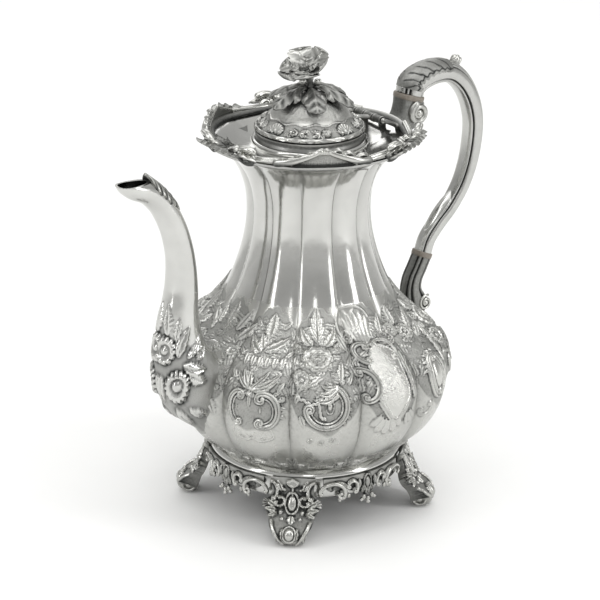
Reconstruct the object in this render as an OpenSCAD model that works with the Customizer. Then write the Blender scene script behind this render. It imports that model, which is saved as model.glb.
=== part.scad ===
/* [Body] */
// Height of the rim's soldered edge above the table
rim_h = 219; // [216:0.5:222]
// Widest radius of the bulbous bowl
belly_r = 82.6; // [80:0.2:84]
// Narrowest radius of the neck
neck_r = 35.3; // [34:0.1:37]
// Height of the seam between bowl and neck
seam_h = 128; // [122:1:134]
// Thickness of the raised silver sheet
sheet_t = 1.3; // [1:0.1:1.6]

/* [Foot] */
// Top of the moulded foot ring, where the bowl stands on it
ring_top = 37.5; // [36:0.5:39]
// Underside of the foot ring
ring_bottom = 23; // [22:0.5:25]
// Outer radius of the foot ring's moulding
ring_r = 55.3; // [54:0.1:56.5]
// Distance from the pot's axis to the middle of a scrolled toe
toe_reach = 68; // [66:0.5:70]
// Width of a scrolled toe
toe_w = 15; // [12:1:18]

/* [Rim and lid] */
// Outer radius of the cast rim border
border_r = 60; // [58:0.5:61]
// Bore of the collar that the lid drops into
collar_bore_r = 28.4; // [28:0.1:29]
// Radius of the lid's edge
lid_r = 31.7; // [31:0.1:32.2]
// Height of the lid's flat underside
lid_seat_h = 223.8; // [223.4:0.1:224.4]
// Height of the top of the lid's dome
dome_top = 245; // [243:0.5:246]
// Radial clearance between the lid's flange and the collar
flange_gap = 0.8; // [0.6:0.1:1]

/* [Lid hinge] */
// Distance from the pot's axis to the hinge pin
hinge_x = 37; // [36.5:0.1:38]
// Height of the hinge pin
hinge_z = 226.5; // [226:0.1:227]
// Outer radius of the knuckles
knuckle_r = 1.9; // [1.8:0.05:2.1]
// Radius of the hinge pin
hinge_pin_r = 1; // [0.9:0.05:1.1]
// Length of one knuckle
knuckle_l = 7.6; // [7:0.1:8]
// Gap between neighbouring knuckles
knuckle_gap = 0.3; // [0.2:0.05:0.4]

/* [Handle] */
// Half the thickness of an ivory insulator
ivory_half_t = 1.6; // [1.4:0.1:1.8]
// Radius of the dowels through the insulators
dowel_r = 1.5; // [1.2:0.1:1.8]

/* [Spout] */
// Wall of the cast spout
spout_t = 1.3; // [1.1:0.1:1.5]
// Height of the plane in which the mouth is cut
mouth_cut_h = 214.6; // [214:0.1:215.5]

/* [Finial] */
// Radius of the threaded stud that holds the finial
stud_r = 1.5; // [1.3:0.1:1.7]
// Radius of the open blossom
flower_r = 13; // [12:0.5:14]

/* [Hidden] */
$fn = 96;

silver = "silver";
bright_silver = "gainsboro";
dark_silver = "darkgray";
ivory = "wheat";

fit = 0.05;

// The foot and rim castings: four feet on the diagonals, four aprons between.
foot_angles = [-45, 45, 135, -135];
apron_angles = [-90, 0, 90, 180];

// Half outline of the bowl and neck, from the foot ring up to the flare.
body_outline = [
    [49.5, ring_top], [60, 44.5], [71, 54], [79, 67], [belly_r - 0.3, 82],
    [80, 95], [71.5, 106.5], [59, 117], [48.5, 130], [41.5, 146],
    [37, 162], [neck_r, 176], [36, 189], [39.5, 201], [45, 210], [49.5, 214.5]
];

// Spout: distance out, height, half thickness, half width at each station.
spout_stations = [
    [64, 85, 29, 18], [80.4, 92.4, 22.5, 17.5], [87.4, 106, 17, 15.3],
    [89.8, 120, 12.7, 12.5], [89.8, 135, 10.3, 10.8], [88.5, 150, 8.8, 9.5],
    [89, 165, 7.9, 8.6], [91.6, 178, 7.5, 8], [96.2, 190, 7.2, 7.6],
    [102.6, 200.5, 7, 7.3], [110.5, 208, 6.8, 7], [120, 212, 6.2, 6.4],
    [128.9, 214.4, 3.6, 3]
];

// Handle: distance out, height, half thickness, half width at each station.
handle_stations = [
    [71.9, 231.6, 8, 7.3], [73.6, 236.2, 8.2, 7.3], [79, 239.6, 8, 7.1],
    [85.5, 241.2, 7.6, 6.8], [93, 241.4, 7, 6.5], [101, 239.5, 6.4, 6.3],
    [108.5, 234.2, 6.1, 6.2], [114.7, 226, 5.9, 6.2], [119, 216, 5.8, 6.2],
    [120.8, 205, 5.6, 6.1], [119.8, 192, 5.5, 6], [117, 180, 5.3, 5.8],
    [112, 168.5, 5.1, 5.5], [104, 157.5, 5, 5.2], [95, 148.8, 5, 5],
    [88.2, 141, 5, 5], [85.1, 133.5, 5, 5]
];

// The pierced patch of the bowl's wall behind the spout, square to the wall.
strainer_r = 12;
strainer_at = [-79.5, 0, 91];
strainer_lean = 14;

// Where the ivory insulators sit: distance out, height and lean.
upper_joint = [71.5, 230];
upper_lean = 15.7;
lower_joint = [84.5, 132];
lower_lean = 22.3;

// Catmull-Rom curve through a list of stations of any width.
function knot(p, i) =
    i < 0 ? 2 * p[0] - p[1] :
    i >= len(p) ? 2 * p[len(p) - 1] - p[len(p) - 2] : p[i];
function blend(a, b, c, d, t) =
    0.5 * (2 * b + (c - a) * t + (2 * a - 5 * b + 4 * c - d) * t * t
    + (3 * b - a - 3 * c + d) * t * t * t);
function curve(p, steps) = concat(
    [for (i = [0 : len(p) - 2], k = [0 : steps - 1])
        blend(knot(p, i - 1), knot(p, i), knot(p, i + 1), knot(p, i + 2), k / steps)],
    [p[len(p) - 1]]);

// Unit direction of a flat curve at one of its points, and its left side.
function heading(p, i) =
    let (d = knot(p, i + 1) - knot(p, i - 1)) [d[0], d[1]] / norm([d[0], d[1]]);
function left_of(d) = [-d[1], d[0]];
function offset_left(p, t) =
    [for (i = [0 : len(p) - 1]) [p[i][0], p[i][1]] + t * left_of(heading(p, i))];
function reversed(p) = [for (i = [len(p) - 1 : -1 : 0]) p[i]];
function signed_pow(v, e) = sign(v) * pow(abs(v), e);

// Rounded-rectangle section; square is 1 for an ellipse and less for a squarer one.
function section(a, b, square, sides) =
    [for (k = [0 : sides - 1])
        [a * signed_pow(cos(360 * k / sides), square),
         b * signed_pow(sin(360 * k / sides), square)]];

// Solid swept through stations that lie in the plane y = 0.
module swept(stations, square, sides, steps, inset = 0) {
    path = curve(stations, steps);
    rings = [for (i = [0 : len(path) - 1])
        let (out = -left_of(heading(path, i)),
             ring = section(path[i][2] - inset, path[i][3] - inset, square, sides))
        [for (q = ring) [path[i][0] + out[0] * q[0], q[1], path[i][1] + out[1] * q[0]]]];
    points = [for (ring = rings, q = ring) q];
    last = len(rings) - 1;
    walls = [for (i = [0 : last - 1], k = [0 : sides - 1])
        let (n = (k + 1) % sides)
        [i * sides + k, (i + 1) * sides + k, (i + 1) * sides + n, i * sides + n]];
    start = [for (k = [0 : sides - 1]) k];
    end = [for (k = [sides - 1 : -1 : 0]) last * sides + k];
    polyhedron(points, concat([start], walls, [end]));
}

// Puts children on the inner end of an ivory joint, with +Z along the handle.
module on_joint(joint, lean) {
    translate([joint[0], 0, joint[1]]) rotate([0, lean, 0]) children();
}

// ---- body ----

body_path = curve(body_outline, 4);
inner_path = offset_left(body_path, sheet_t);
bowl_outer = [for (p = body_path) if (p[1] <= seam_h) p];
bowl_inner = [for (p = inner_path) if (p[1] > ring_top + sheet_t && p[1] <= seam_h) p];
neck_outer = [for (p = body_path) if (p[1] > seam_h) p];
neck_inner = [for (p = inner_path) if (p[1] > seam_h) p];
seam_r = 49.8;

// Top surface of the dished plate inside the rim.
plate_top = [
    [29.8, 208], [34, 208.8], [39, 210.6], [44, 213.2], [49, 216.2],
    [54, 218.6], [border_r - 1, rim_h + 0.6]
];
plate_t = 1.2;
plate_under = [for (p = offset_left(plate_top, -plate_t)) [p[0], p[1]]];

// Everything inside the pot's outer skin, for cutting what is soldered to it.
module pot_envelope() {
    rotate_extrude()
        polygon(concat([[0, ring_top - 4]], [[49.5, ring_top - 4]], body_path,
            [[border_r, rim_h - 1.2], [border_r, rim_h + 4], [0, rim_h + 4]]));
}

// Raised bowl with its own flat bottom, before the spout's hole is pierced.
module bowl_shell() {
    rotate_extrude()
        polygon(concat([[0, ring_top]], bowl_outer, [[seam_r, seam_h]],
            [[seam_r - sheet_t, seam_h]], reversed(bowl_inner),
            [[0, ring_top + sheet_t]]));
}

module bowl() {
    color(silver)
    difference() {
        bowl_shell();
        at_strainer() cylinder(h = 16, r = strainer_r + fit, center = true);
    }
}

module neck() {
    color(silver)
    difference() {
        rotate_extrude()
            polygon(concat([[seam_r, seam_h]], neck_outer,
                reversed(neck_inner), [[seam_r - sheet_t, seam_h]]));
        rotate_extrude()
            polygon(concat(plate_under, [[border_r, rim_h + 6], [29.8, rim_h + 6]]));
    }
}

module mouth_plate() {
    color(bright_silver)
    rotate_extrude() polygon(concat(plate_top, reversed(plate_under)));
}

// Collar that the lid's flange drops into, with a rolled moulding round it.
module lid_collar() {
    wall_r = 29.8;
    roll_r = 1.8;
    color(bright_silver)
    rotate_extrude() {
        polygon([
            [collar_bore_r, 205.5], [wall_r, 205.5], [wall_r, 214], [30.6, 216.4],
            [31, 217.6], [30.8, 219.4], [30.4, 220.2], [collar_bore_r, 220.2]
        ]);
        translate([31.2, 217.6]) circle(r = roll_r, $fn = 32);
    }
}

// Cast border on the edge of the rim: a rolled rod of scrolls, plain here.
module rim_border() {
    color(dark_silver)
    rotate_extrude()
        polygon([
            [border_r - 5.5, rim_h - 0.16], [border_r - 1, rim_h + 0.6], [border_r, rim_h + 1.4],
            [border_r, rim_h + 2.8], [border_r - 1.6, rim_h + 4], [border_r - 4, rim_h + 3.4],
            [border_r - 5.8, rim_h + 1.4]
        ]);
}

// Shell and leaf cluster that rises above the border.
module rim_shell(angle, width, rise) {
    color(dark_silver)
    rotate([0, 0, angle])
    translate([border_r - 3, 0, rim_h + 2.4])
    difference() {
        union() {
            for (k = [-2 : 2]) {
                translate([1.2 - abs(k) * 0.6, k * width / 5, rise * (0.5 - abs(k) * 0.12)])
                    sphere(r = 2.6 - abs(k) * 0.3, $fn = 16);
            }
            translate([-1.6, -width / 2, 0]) cube([3.6, width, rise * 0.5]);
        }
        translate([-12, -width, -6]) cube([24, 2 * width, 6]);
    }
}
module rim_shell_spout() {
    rim_shell(180, 15, 7);
}
module rim_shell_front() {
    rim_shell(-120, 18, 6);
}
module rim_shell_rear() {
    rim_shell(120, 18, 6);
}
module rim_shell_left() {
    rim_shell(-60, 20, 7);
}
module rim_shell_right() {
    rim_shell(60, 20, 7);
}

// ---- foot ----

module foot_ring() {
    inner_r = 50;
    color(silver)
    rotate_extrude()
        polygon([
            [inner_r, ring_bottom], [54.2, ring_bottom], [54.6, ring_bottom + 1.5],
            [53.4, ring_bottom + 5], [53.2, ring_bottom + 8], [54.2, ring_bottom + 10.5],
            [ring_r, ring_bottom + 11.6], [ring_r, ring_bottom + 13], [54, ring_top - 0.4],
            [52.4, ring_top], [45, ring_top], [45, ring_top - 1.4], [inner_r, ring_top - 4]
        ]);
}

// Cast foot: a shield on the ring that sweeps out to a scrolled toe.
module foot(angle) {
    toe_r = 6;
    toe_z = 5.6;
    side = curve([
        [57.4, 36], [58.6, 30], [60.4, 24], [63, 18.6], [66.6, 14.4], [70, 12.2]
    ], 4);
    side_in = curve([
        [62.6, 6], [61.4, 10], [58.6, 14.5], [56.4, 19], [54.6, 24]
    ], 4);
    front = [
        [-13, 36.4], [-12.4, 30], [-14.5, 25], [-15.6, 20], [-11.5, 14], [-9, 8],
        [-toe_w / 2, 4], [-toe_w / 2, 0], [toe_w / 2, 0], [toe_w / 2, 4],
        [9, 8], [11.5, 14], [15.6, 20], [14.5, 25], [12.4, 30], [13, 36.4]
    ];
    color(dark_silver)
    rotate([0, 0, angle])
    difference() {
        intersection() {
            union() {
                rotate([90, 0, 0])
                    linear_extrude(40, center = true)
                        polygon(concat(side, [[70, 7]], side_in, [[50, 24], [50, 36]]));
                translate([toe_reach, 0, toe_z]) rotate([90, 0, 0])
                    cylinder(h = toe_w, r = toe_r, center = true, $fn = 48);
            }
            translate([40, 0, 0]) rotate([90, 0, 90]) linear_extrude(50) polygon(front);
        }
        cylinder(h = 80, r = ring_r, center = true);
    }
}
module foot_1() {
    foot(foot_angles[0]);
}
module foot_2() {
    foot(foot_angles[1]);
}
module foot_3() {
    foot(foot_angles[2]);
}
module foot_4() {
    foot(foot_angles[3]);
}

// Cast apron between two feet, with a pendant in the middle.
module apron(angle) {
    half_w = 28;
    drop = 5.5;
    lower_edge = [for (k = [0 : 28])
        let (y = -half_w + k * 2, hump = exp(-pow(y / 5, 2)))
        [y, 23.6 - 1.2 * abs(sin(y * 18)) - hump * (drop - 1)]];
    color(dark_silver)
    rotate([0, 0, angle])
    intersection() {
        difference() {
            cylinder(h = 36, r = ring_r + 2.2);
            translate([0, 0, -1]) cylinder(h = 40, r = ring_r);
        }
        translate([30, 0, 0]) rotate([90, 0, 90]) linear_extrude(40)
            polygon(concat(lower_edge, [[half_w, 34.5], [-half_w, 34.5]]));
    }
}
module apron_1() {
    apron(apron_angles[0]);
}
module apron_2() {
    apron(apron_angles[1]);
}
module apron_3() {
    apron(apron_angles[2]);
}
module apron_4() {
    apron(apron_angles[3]);
}

// ---- spout ----

module spout() {
    color(silver)
    rotate([0, 0, 180])
    difference() {
        swept(spout_stations, 1, 16, 2);
        swept(concat([[56, 84, 29, 17]], spout_stations, [[136, 216.6, 3.6, 3]]), 1, 16, 2, spout_t);
        translate([108, -20, mouth_cut_h]) cube([40, 40, 20]);
        pot_envelope();
    }
}

// Acanthus leaf down the back of the mouth, with a pointed hood.
module spout_leaf() {
    spine = curve([[90.8, 196.5], [94.6, 204], [100.2, 211], [107, 215.9], [112.6, 219]], 3);
    leaf_t = 1.2;
    leaf_w = 9;
    color(dark_silver)
    rotate([0, 0, 180]) rotate([90, 0, 0])
        linear_extrude(leaf_w, center = true)
            polygon(concat(spine, reversed(offset_left(spine, -leaf_t))));
}

module at_strainer() {
    translate(strainer_at) rotate([0, strainer_lean - 90, 0]) children();
}

// Pierced patch of the wall that keeps the grounds out of the spout.
module strainer() {
    hole_r = 1.1;
    hole_pitch = 3.1;
    color(dark_silver)
    difference() {
        intersection() {
            bowl_shell();
            at_strainer() cylinder(h = 16, r = strainer_r, center = true);
        }
        at_strainer()
            for (ring = [1 : 3], k = [0 : 6 * ring - 1]) {
                rotate([0, 0, 60 * k / ring]) translate([hole_pitch * ring, 0, 0])
                    cylinder(h = 20, r = hole_r, center = true, $fn = 16);
            }
    }
}

// ---- handle ----

module insulator(a, b) {
    color(ivory)
    difference() {
        translate([0, 0, -ivory_half_t]) linear_extrude(2 * ivory_half_t) polygon(section(a, b, 0.6, 32));
        cylinder(h = 10, r = dowel_r + fit, center = true, $fn = 32);
    }
}
module insulator_upper() {
    on_joint(upper_joint, upper_lean) insulator(8.6, 7.9);
}
module insulator_lower() {
    on_joint(lower_joint, lower_lean) insulator(5.6, 5.7);
}

module dowel() {
    color(bright_silver) cylinder(h = 12, r = dowel_r, center = true, $fn = 32);
}
module dowel_upper() {
    on_joint(upper_joint, upper_lean) dowel();
}
module dowel_lower() {
    on_joint(lower_joint, lower_lean) dowel();
}
module dowel_holes() {
    on_joint(upper_joint, upper_lean) cylinder(h = 12.6, r = dowel_r + fit, center = true, $fn = 32);
    on_joint(lower_joint, lower_lean) cylinder(h = 12.6, r = dowel_r + fit, center = true, $fn = 32);
}

module handle() {
    color(silver)
    difference() {
        swept(handle_stations, 0.75, 16, 2);
        dowel_holes();
        on_joint(upper_joint, upper_lean) translate([-12, -20, ivory_half_t - 20]) cube([24, 40, 20]);
        on_joint(lower_joint, lower_lean) translate([-12, -20, ivory_half_t - 20]) cube([24, 40, 20]);
    }
}

// Cast bracket from the rim up to the upper insulator, with side volutes.
module socket_upper() {
    volute = [73.5, 218.6];
    color(dark_silver)
    difference() {
        union() {
            rotate([90, 0, 0]) linear_extrude(14, center = true)
                polygon([
                    [63.2, 232], [79.6, 228], [80, 221], [78, 215.4], [72, 211.6], [64, 210.6],
                    [55, 207.6], [46, 204], [43, 208], [52, 213], [60, 220], [62.6, 226]
                ]);
            translate([volute[0], 0, volute[1]]) rotate([90, 0, 0]) cylinder(h = 17, r = 5.6, center = true);
        }
        pot_envelope();
        dowel_holes();
        on_joint(upper_joint, upper_lean) translate([-30, -20, -ivory_half_t]) cube([60, 40, 20]);
    }
}

// Reeded S-curved bracket from the bowl's shoulder up to the lower insulator.
module socket_lower() {
    outer_edge = curve([
        [89.3, 130], [85.6, 122.6], [82.8, 117.4], [82.4, 112.4], [85, 108.4],
        [87.6, 104.6], [87.4, 100], [83.6, 95.6], [77, 93]
    ], 3);
    inner_edge = curve([
        [66, 104], [70.4, 108.4], [70.8, 114], [72.6, 120.4], [76, 126.6], [79.4, 134]
    ], 3);
    color(dark_silver)
    difference() {
        rotate([90, 0, 0]) linear_extrude(10.4, center = true) polygon(concat(outer_edge, inner_edge));
        pot_envelope();
        dowel_holes();
        on_joint(lower_joint, lower_lean) translate([-30, -20, -ivory_half_t]) cube([60, 40, 20]);
    }
}

// Acanthus cap over the top of the handle.
module handle_leaf() {
    spine = curve([[66.8, 241.6], [70.6, 245.2], [77, 247.8], [85, 249.2], [93, 248.7], [100, 246.6]], 3);
    leaf_t = 1;
    color(dark_silver)
    rotate([90, 0, 0])
        linear_extrude(12.4, center = true)
            polygon(concat(offset_left(spine, leaf_t * 0.4), reversed(offset_left(spine, -leaf_t * 0.6))));
}

// Flower bud on top of the handle, where the thumb rests.
module thumb_bud() {
    color(dark_silver)
    translate([106, 0, 245.4]) rotate([0, 35, 0]) {
        translate([0, 0, -4.6]) cylinder(h = 4.4, r1 = 1.6, r2 = 3, $fn = 32);
        sphere(r = 4, $fn = 32);
    }
}

// ---- lid hinge ----

module knuckle(slot) {
    length = knuckle_l - knuckle_gap;
    translate([0, slot * knuckle_l, 0]) rotate([90, 0, 0])
        cylinder(h = length, r = knuckle_r, center = true, $fn = 48);
}
module hinge_bore() {
    rotate([90, 0, 0]) cylinder(h = 6 * knuckle_l, r = hinge_pin_r + fit, center = true, $fn = 48);
}

// Fixed half of the hinge: three knuckles, their straps and the bar on the rim.
module hinge_bracket() {
    strap = [[0, -knuckle_r], [8, -4.4], [16, -9.6], [18.4, -8.8], [18.4, -6.6], [9, -1.8], [0.6, -0.2]];
    color(silver)
    translate([hinge_x, 0, hinge_z])
    difference() {
        union() {
            for (slot = [-2, 0, 2]) {
                knuckle(slot);
                translate([0, slot * knuckle_l, 0]) rotate([90, 0, 0])
                    linear_extrude(knuckle_l - knuckle_gap, center = true) polygon(strap);
            }
            translate([9.6, -2.5 * knuckle_l + 1, -6]) cube([3.6, 5 * knuckle_l - 2, 2]);
        }
        hinge_bore();
    }
}

module hinge_pin() {
    color(bright_silver)
    translate([hinge_x, 0, hinge_z]) rotate([90, 0, 0])
        cylinder(h = 5 * knuckle_l + 1, r = hinge_pin_r, center = true, $fn = 48);
}

// ---- lid ----

dome_outline = curve([
    [lid_r, 225], [lid_r - 0.5, 226.4], [28.2, 228.4], [24.4, 231.2], [21.4, 234.4],
    [20.4, 236.8], [18.4, 239.2], [14.6, 241.9], [9, 244], [4, 244.8], [2.4, dome_top]
], 2);

module lid_dome() {
    inner = reversed([for (p = offset_left(dome_outline, 1.1))
        if (p[1] > lid_seat_h + 0.6 && p[0] > 2.6 && p[1] < dome_top - 1.15) p]);
    color(silver)
    difference() {
        rotate_extrude()
            polygon(concat(dome_outline, [[0, dome_top]], [[0, dome_top - 1.2]],
                inner, [[28, lid_seat_h], [lid_r - 0.7, lid_seat_h]]));
        cylinder(h = 300, r = stud_r + fit, $fn = 48);
    }
}

// Concave band under the lid's edge, and the flange that drops into the collar.
module lid_flange() {
    out_r = collar_bore_r - flange_gap;
    color(bright_silver)
    rotate_extrude()
        polygon([
            [out_r - 1.1, 216], [out_r, 216], [out_r, 220.5], [30.6, 220.5], [30.2, 221.6],
            [30.2, 222.6], [30.8, lid_seat_h], [out_r - 1.1, lid_seat_h]
        ]);
}

// Moving half of the hinge: two knuckles and their straps to the lid's edge.
module lid_hinge_leaf() {
    strap = [[-5.2, -1.1], [0, -knuckle_r + 0.2], [0, knuckle_r - 0.3], [-3, 1.3], [-8.6, 2.2], [-8.6, 0.4]];
    color(silver)
    difference() {
        translate([hinge_x, 0, hinge_z])
        difference() {
            for (slot = [-1, 1]) {
                knuckle(slot);
                translate([0, slot * knuckle_l, 0]) rotate([90, 0, 0])
                    linear_extrude(knuckle_l - knuckle_gap, center = true) polygon(strap);
            }
            hinge_bore();
        }
        rotate_extrude() polygon(concat([[0, lid_seat_h]], [[lid_r - 0.7, lid_seat_h]], dome_outline, [[0, dome_top]]));
    }
}

// ---- finial ----

module finial_stud() {
    color(bright_silver) translate([0, 0, 237]) cylinder(h = 11, r = stud_r, $fn = 48);
}
module finial_washer() {
    color(bright_silver)
    translate([0, 0, dome_top - 2.4])
    difference() {
        cylinder(h = 0.8, r = 4.5, $fn = 48);
        translate([0, 0, -1]) cylinder(h = 3, r = stud_r + fit, $fn = 48);
    }
}
module finial_nut() {
    color(bright_silver)
    translate([0, 0, dome_top - 5.2])
    difference() {
        cylinder(h = 2.7, r = 3.4, $fn = 6);
        translate([0, 0, -1]) cylinder(h = 5, r = stud_r + fit, $fn = 48);
    }
}

// One cut leaf, lying along +X with its foot at the origin.
module leaf(length, width, droop) {
    outline = [for (k = [0 : 12]) [length * k / 12, width * 0.5 * sin(15 * k) * (1 + 0.12 * cos(180 * k))]];
    mirrored = [for (p = reversed(outline)) [p[0], -p[1]]];
    rotate([0, droop, 0]) linear_extrude(0.9)
        polygon(concat([[-0.5, 0.6]], [for (k = [1 : 12]) outline[k]],
            [for (k = [1 : 11]) mirrored[k]], [[-0.5, -0.6]]));
}

// Ring of leaves that spreads from the foot of the stem over the dome.
module finial_leaves() {
    color(dark_silver)
    difference() {
        union() {
            translate([0, 0, dome_top + 0.1]) cylinder(h = 3.2, r1 = 4.6, r2 = 3, $fn = 32);
            for (k = [0 : 5]) {
                rotate([0, 0, 60 * k + 22]) translate([1, 0, 247.4]) leaf(23, 10, 15);
            }
        }
        cylinder(h = 248.2, r = stud_r + fit, $fn = 48);
    }
}

stem_foot = [0, 0, 248.4];
flower_centre = [-3.4, 1.2, 258];

module finial_stem() {
    color(silver)
    translate(stem_foot) rotate([-7, -18, 0]) cylinder(h = 10.4, r1 = 2.2, r2 = 1.5, $fn = 32);
}
module finial_buds() {
    color(dark_silver)
    for (k = [0 : 2]) {
        rotate([0, 0, 120 * k + 52]) translate([4.6, 0, 251]) {
            sphere(r = 2, $fn = 24);
            rotate([0, -150, 0]) cylinder(h = 3.6, r1 = 1, r2 = 0.7, $fn = 16);
        }
    }
}
module finial_flower() {
    color(silver)
    translate(flower_centre) rotate([8, -16, 0]) {
        rotate_extrude()
            polygon([
                [0, 0], [4, 0.4], [8.6, 2.6], [11.6, 5.8], [flower_r, 9], [flower_r - 1, 9.2],
                [10.6, 6.6], [7.8, 3.8], [3.6, 1.6], [0, 1.2]
            ]);
        translate([0, 0, 2.6]) sphere(r = 2.4, $fn = 24);
    }
}

bowl();
neck();
mouth_plate();
lid_collar();
rim_border();
rim_shell_spout();
rim_shell_front();
rim_shell_rear();
rim_shell_left();
rim_shell_right();
foot_ring();
foot_1();
foot_2();
foot_3();
foot_4();
apron_1();
apron_2();
apron_3();
apron_4();
spout();
spout_leaf();
strainer();
socket_upper();
socket_lower();
insulator_upper();
insulator_lower();
dowel_upper();
dowel_lower();
handle();
handle_leaf();
thumb_bud();
hinge_bracket();
hinge_pin();
lid_dome();
lid_flange();
lid_hinge_leaf();
finial_stud();
finial_washer();
finial_nut();
finial_leaves();
finial_stem();
finial_buds();
finial_flower();
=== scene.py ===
"""Silver coffee pot: lobed chased body, cast rim and feet, scroll handle, swan-neck spout, blossom lid."""
import logging
import math
from dataclasses import dataclass, field
from enum import Enum
from math import cos, pi, radians, sin
from typing import Callable, Iterable, Sequence

import bmesh
import bpy
import numpy as np
from mathutils import Matrix, Vector


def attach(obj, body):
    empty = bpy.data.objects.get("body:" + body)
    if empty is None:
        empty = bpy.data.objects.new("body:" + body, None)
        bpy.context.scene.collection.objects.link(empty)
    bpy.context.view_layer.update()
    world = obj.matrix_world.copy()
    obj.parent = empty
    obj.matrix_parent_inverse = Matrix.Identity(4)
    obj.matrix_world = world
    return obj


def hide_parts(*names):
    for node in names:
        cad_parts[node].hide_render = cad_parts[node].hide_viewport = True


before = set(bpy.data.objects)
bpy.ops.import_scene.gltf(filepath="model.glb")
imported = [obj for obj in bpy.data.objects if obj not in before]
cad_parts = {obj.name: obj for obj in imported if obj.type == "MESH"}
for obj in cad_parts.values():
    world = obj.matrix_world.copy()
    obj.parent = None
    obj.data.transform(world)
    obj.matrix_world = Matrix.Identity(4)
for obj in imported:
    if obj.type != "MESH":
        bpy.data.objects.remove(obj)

log = logging.getLogger("coffee_pot")
MM = 0.001
TAU = math.tau
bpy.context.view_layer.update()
Point = Sequence[float]
Array = np.ndarray
Values = np.ndarray | float


class Body(Enum):
    """The rigid bodies that pieces ride on."""

    POT = "pot"
    LID = "lid"


class Slot(Enum):
    """The record's material slots."""

    CHASED = "silver_chased"
    BURNISHED = "silver_burnished"
    CAST = "silver_cast"
    IVORY = "ivory"


# ---------------------------------------------------------------- curves and numbers


def spline(points: Sequence[Point], steps: int) -> Array:
    """Catmull-Rom curve through points of any width.

    Args:
        points: the points it passes through, two or more.
        steps: pieces between one point and the next.

    Returns:
        The points of the curve, ends included.
    """
    p = np.asarray(points, float)
    p = np.vstack([2 * p[0] - p[1], p, 2 * p[-1] - p[-2]])
    t = (np.arange(steps) / steps)[:, None]
    out = []
    for a, b, c, d in zip(p[:-3], p[1:-2], p[2:-1], p[3:]):
        curve = 2 * b + (c - a) * t + (2 * a - 5 * b + 4 * c - d) * t**2 + (3 * b - a - 3 * c + d) * t**3
        out.append(0.5 * curve)
    out.append(p[-2][None])
    return np.vstack(out)


def smooth(x: Values, low: float, high: float) -> Array:
    """Smooth step from 0 at low to 1 at high."""
    t = np.clip((np.asarray(x, float) - low) / (high - low), 0.0, 1.0)
    return t * t * (3 - 2 * t)


def unit(v: Array) -> Array:
    """Vectors of length one along the last axis."""
    return v / np.maximum(np.linalg.norm(v, axis=-1, keepdims=True), 1e-9)


def dome(d: Array, reach: Values) -> Array:
    """Round-topped bump: 1 at distance 0, falling to 0 at reach."""
    return np.sqrt(np.clip(1 - (d / np.maximum(reach, 1e-6)) ** 2, 0, 1))


def bell(x: Array) -> Array:
    """Smooth hump: 1 at 0, dying away past 1."""
    return np.exp(-(x**2))


def wound(r: Values, a: Values, z: Values) -> Array:
    """Points at radii, angles in radians about the pot's axis, and heights."""
    r, a, z = np.broadcast_arrays(r, a, z)
    return np.stack([r * np.cos(a), r * np.sin(a), z], -1)


def squared(count: int, power: float) -> tuple[Array, Array]:
    """Cosines and sines round a section whose corners are fuller than a circle's."""
    a = np.arange(count) / count * TAU
    c, s = np.cos(a), np.sin(a)
    return np.sign(c) * np.abs(c) ** power, np.sign(s) * np.abs(s) ** power


def blur(a: Array, radius: int) -> Array:
    """Box mean of an array over a square window, edges held."""
    for axis in (0, 1):
        pad = [(radius + 1, radius) if k == axis else (0, 0) for k in (0, 1)]
        c = np.cumsum(np.pad(a, pad, mode="edge"), axis=axis)
        n = a.shape[axis]
        high = np.take(c, np.arange(2 * radius + 1, 2 * radius + 1 + n), axis=axis)
        low = np.take(c, np.arange(0, n), axis=axis)
        a = (high - low) / (2 * radius + 1)
    return a


def hollows(height: Array, radius: int, depth: float) -> Array:
    """How deep each point lies below what surrounds it, as 0 to 1.

    Args:
        height: height map in mm.
        radius: how far round each point to look, in cells.
        depth: depth in mm that counts as fully sunk.

    Returns:
        A map of the same shape.
    """
    near = np.clip((blur(height, radius) - height) / depth, 0, 1)
    far = np.clip((blur(height, radius * 3) - height) / (depth * 2.2), 0, 1)
    return np.clip(near + 0.6 * far, 0, 1)


def lengths(line: Array) -> Array:
    """Distance along a line at each of its points."""
    return np.append(0, np.cumsum(np.hypot(*np.diff(line, axis=0).T)))


def resampled(line: Array, count: int) -> Array:
    """The same line with count + 1 points, evenly spread over its own points."""
    own = np.arange(len(line))
    pick = np.linspace(0, len(line) - 1, count + 1)
    return np.stack([np.interp(pick, own, values) for values in line.T], -1)


def turned(points: Array, degrees: float) -> Array:
    """Points turned about the pot's axis."""
    a = radians(degrees)
    r = np.array([[cos(a), -sin(a), 0], [sin(a), cos(a), 0], [0, 0, 1]])
    return points @ r.T


# ---------------------------------------------------------------- meshes


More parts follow.
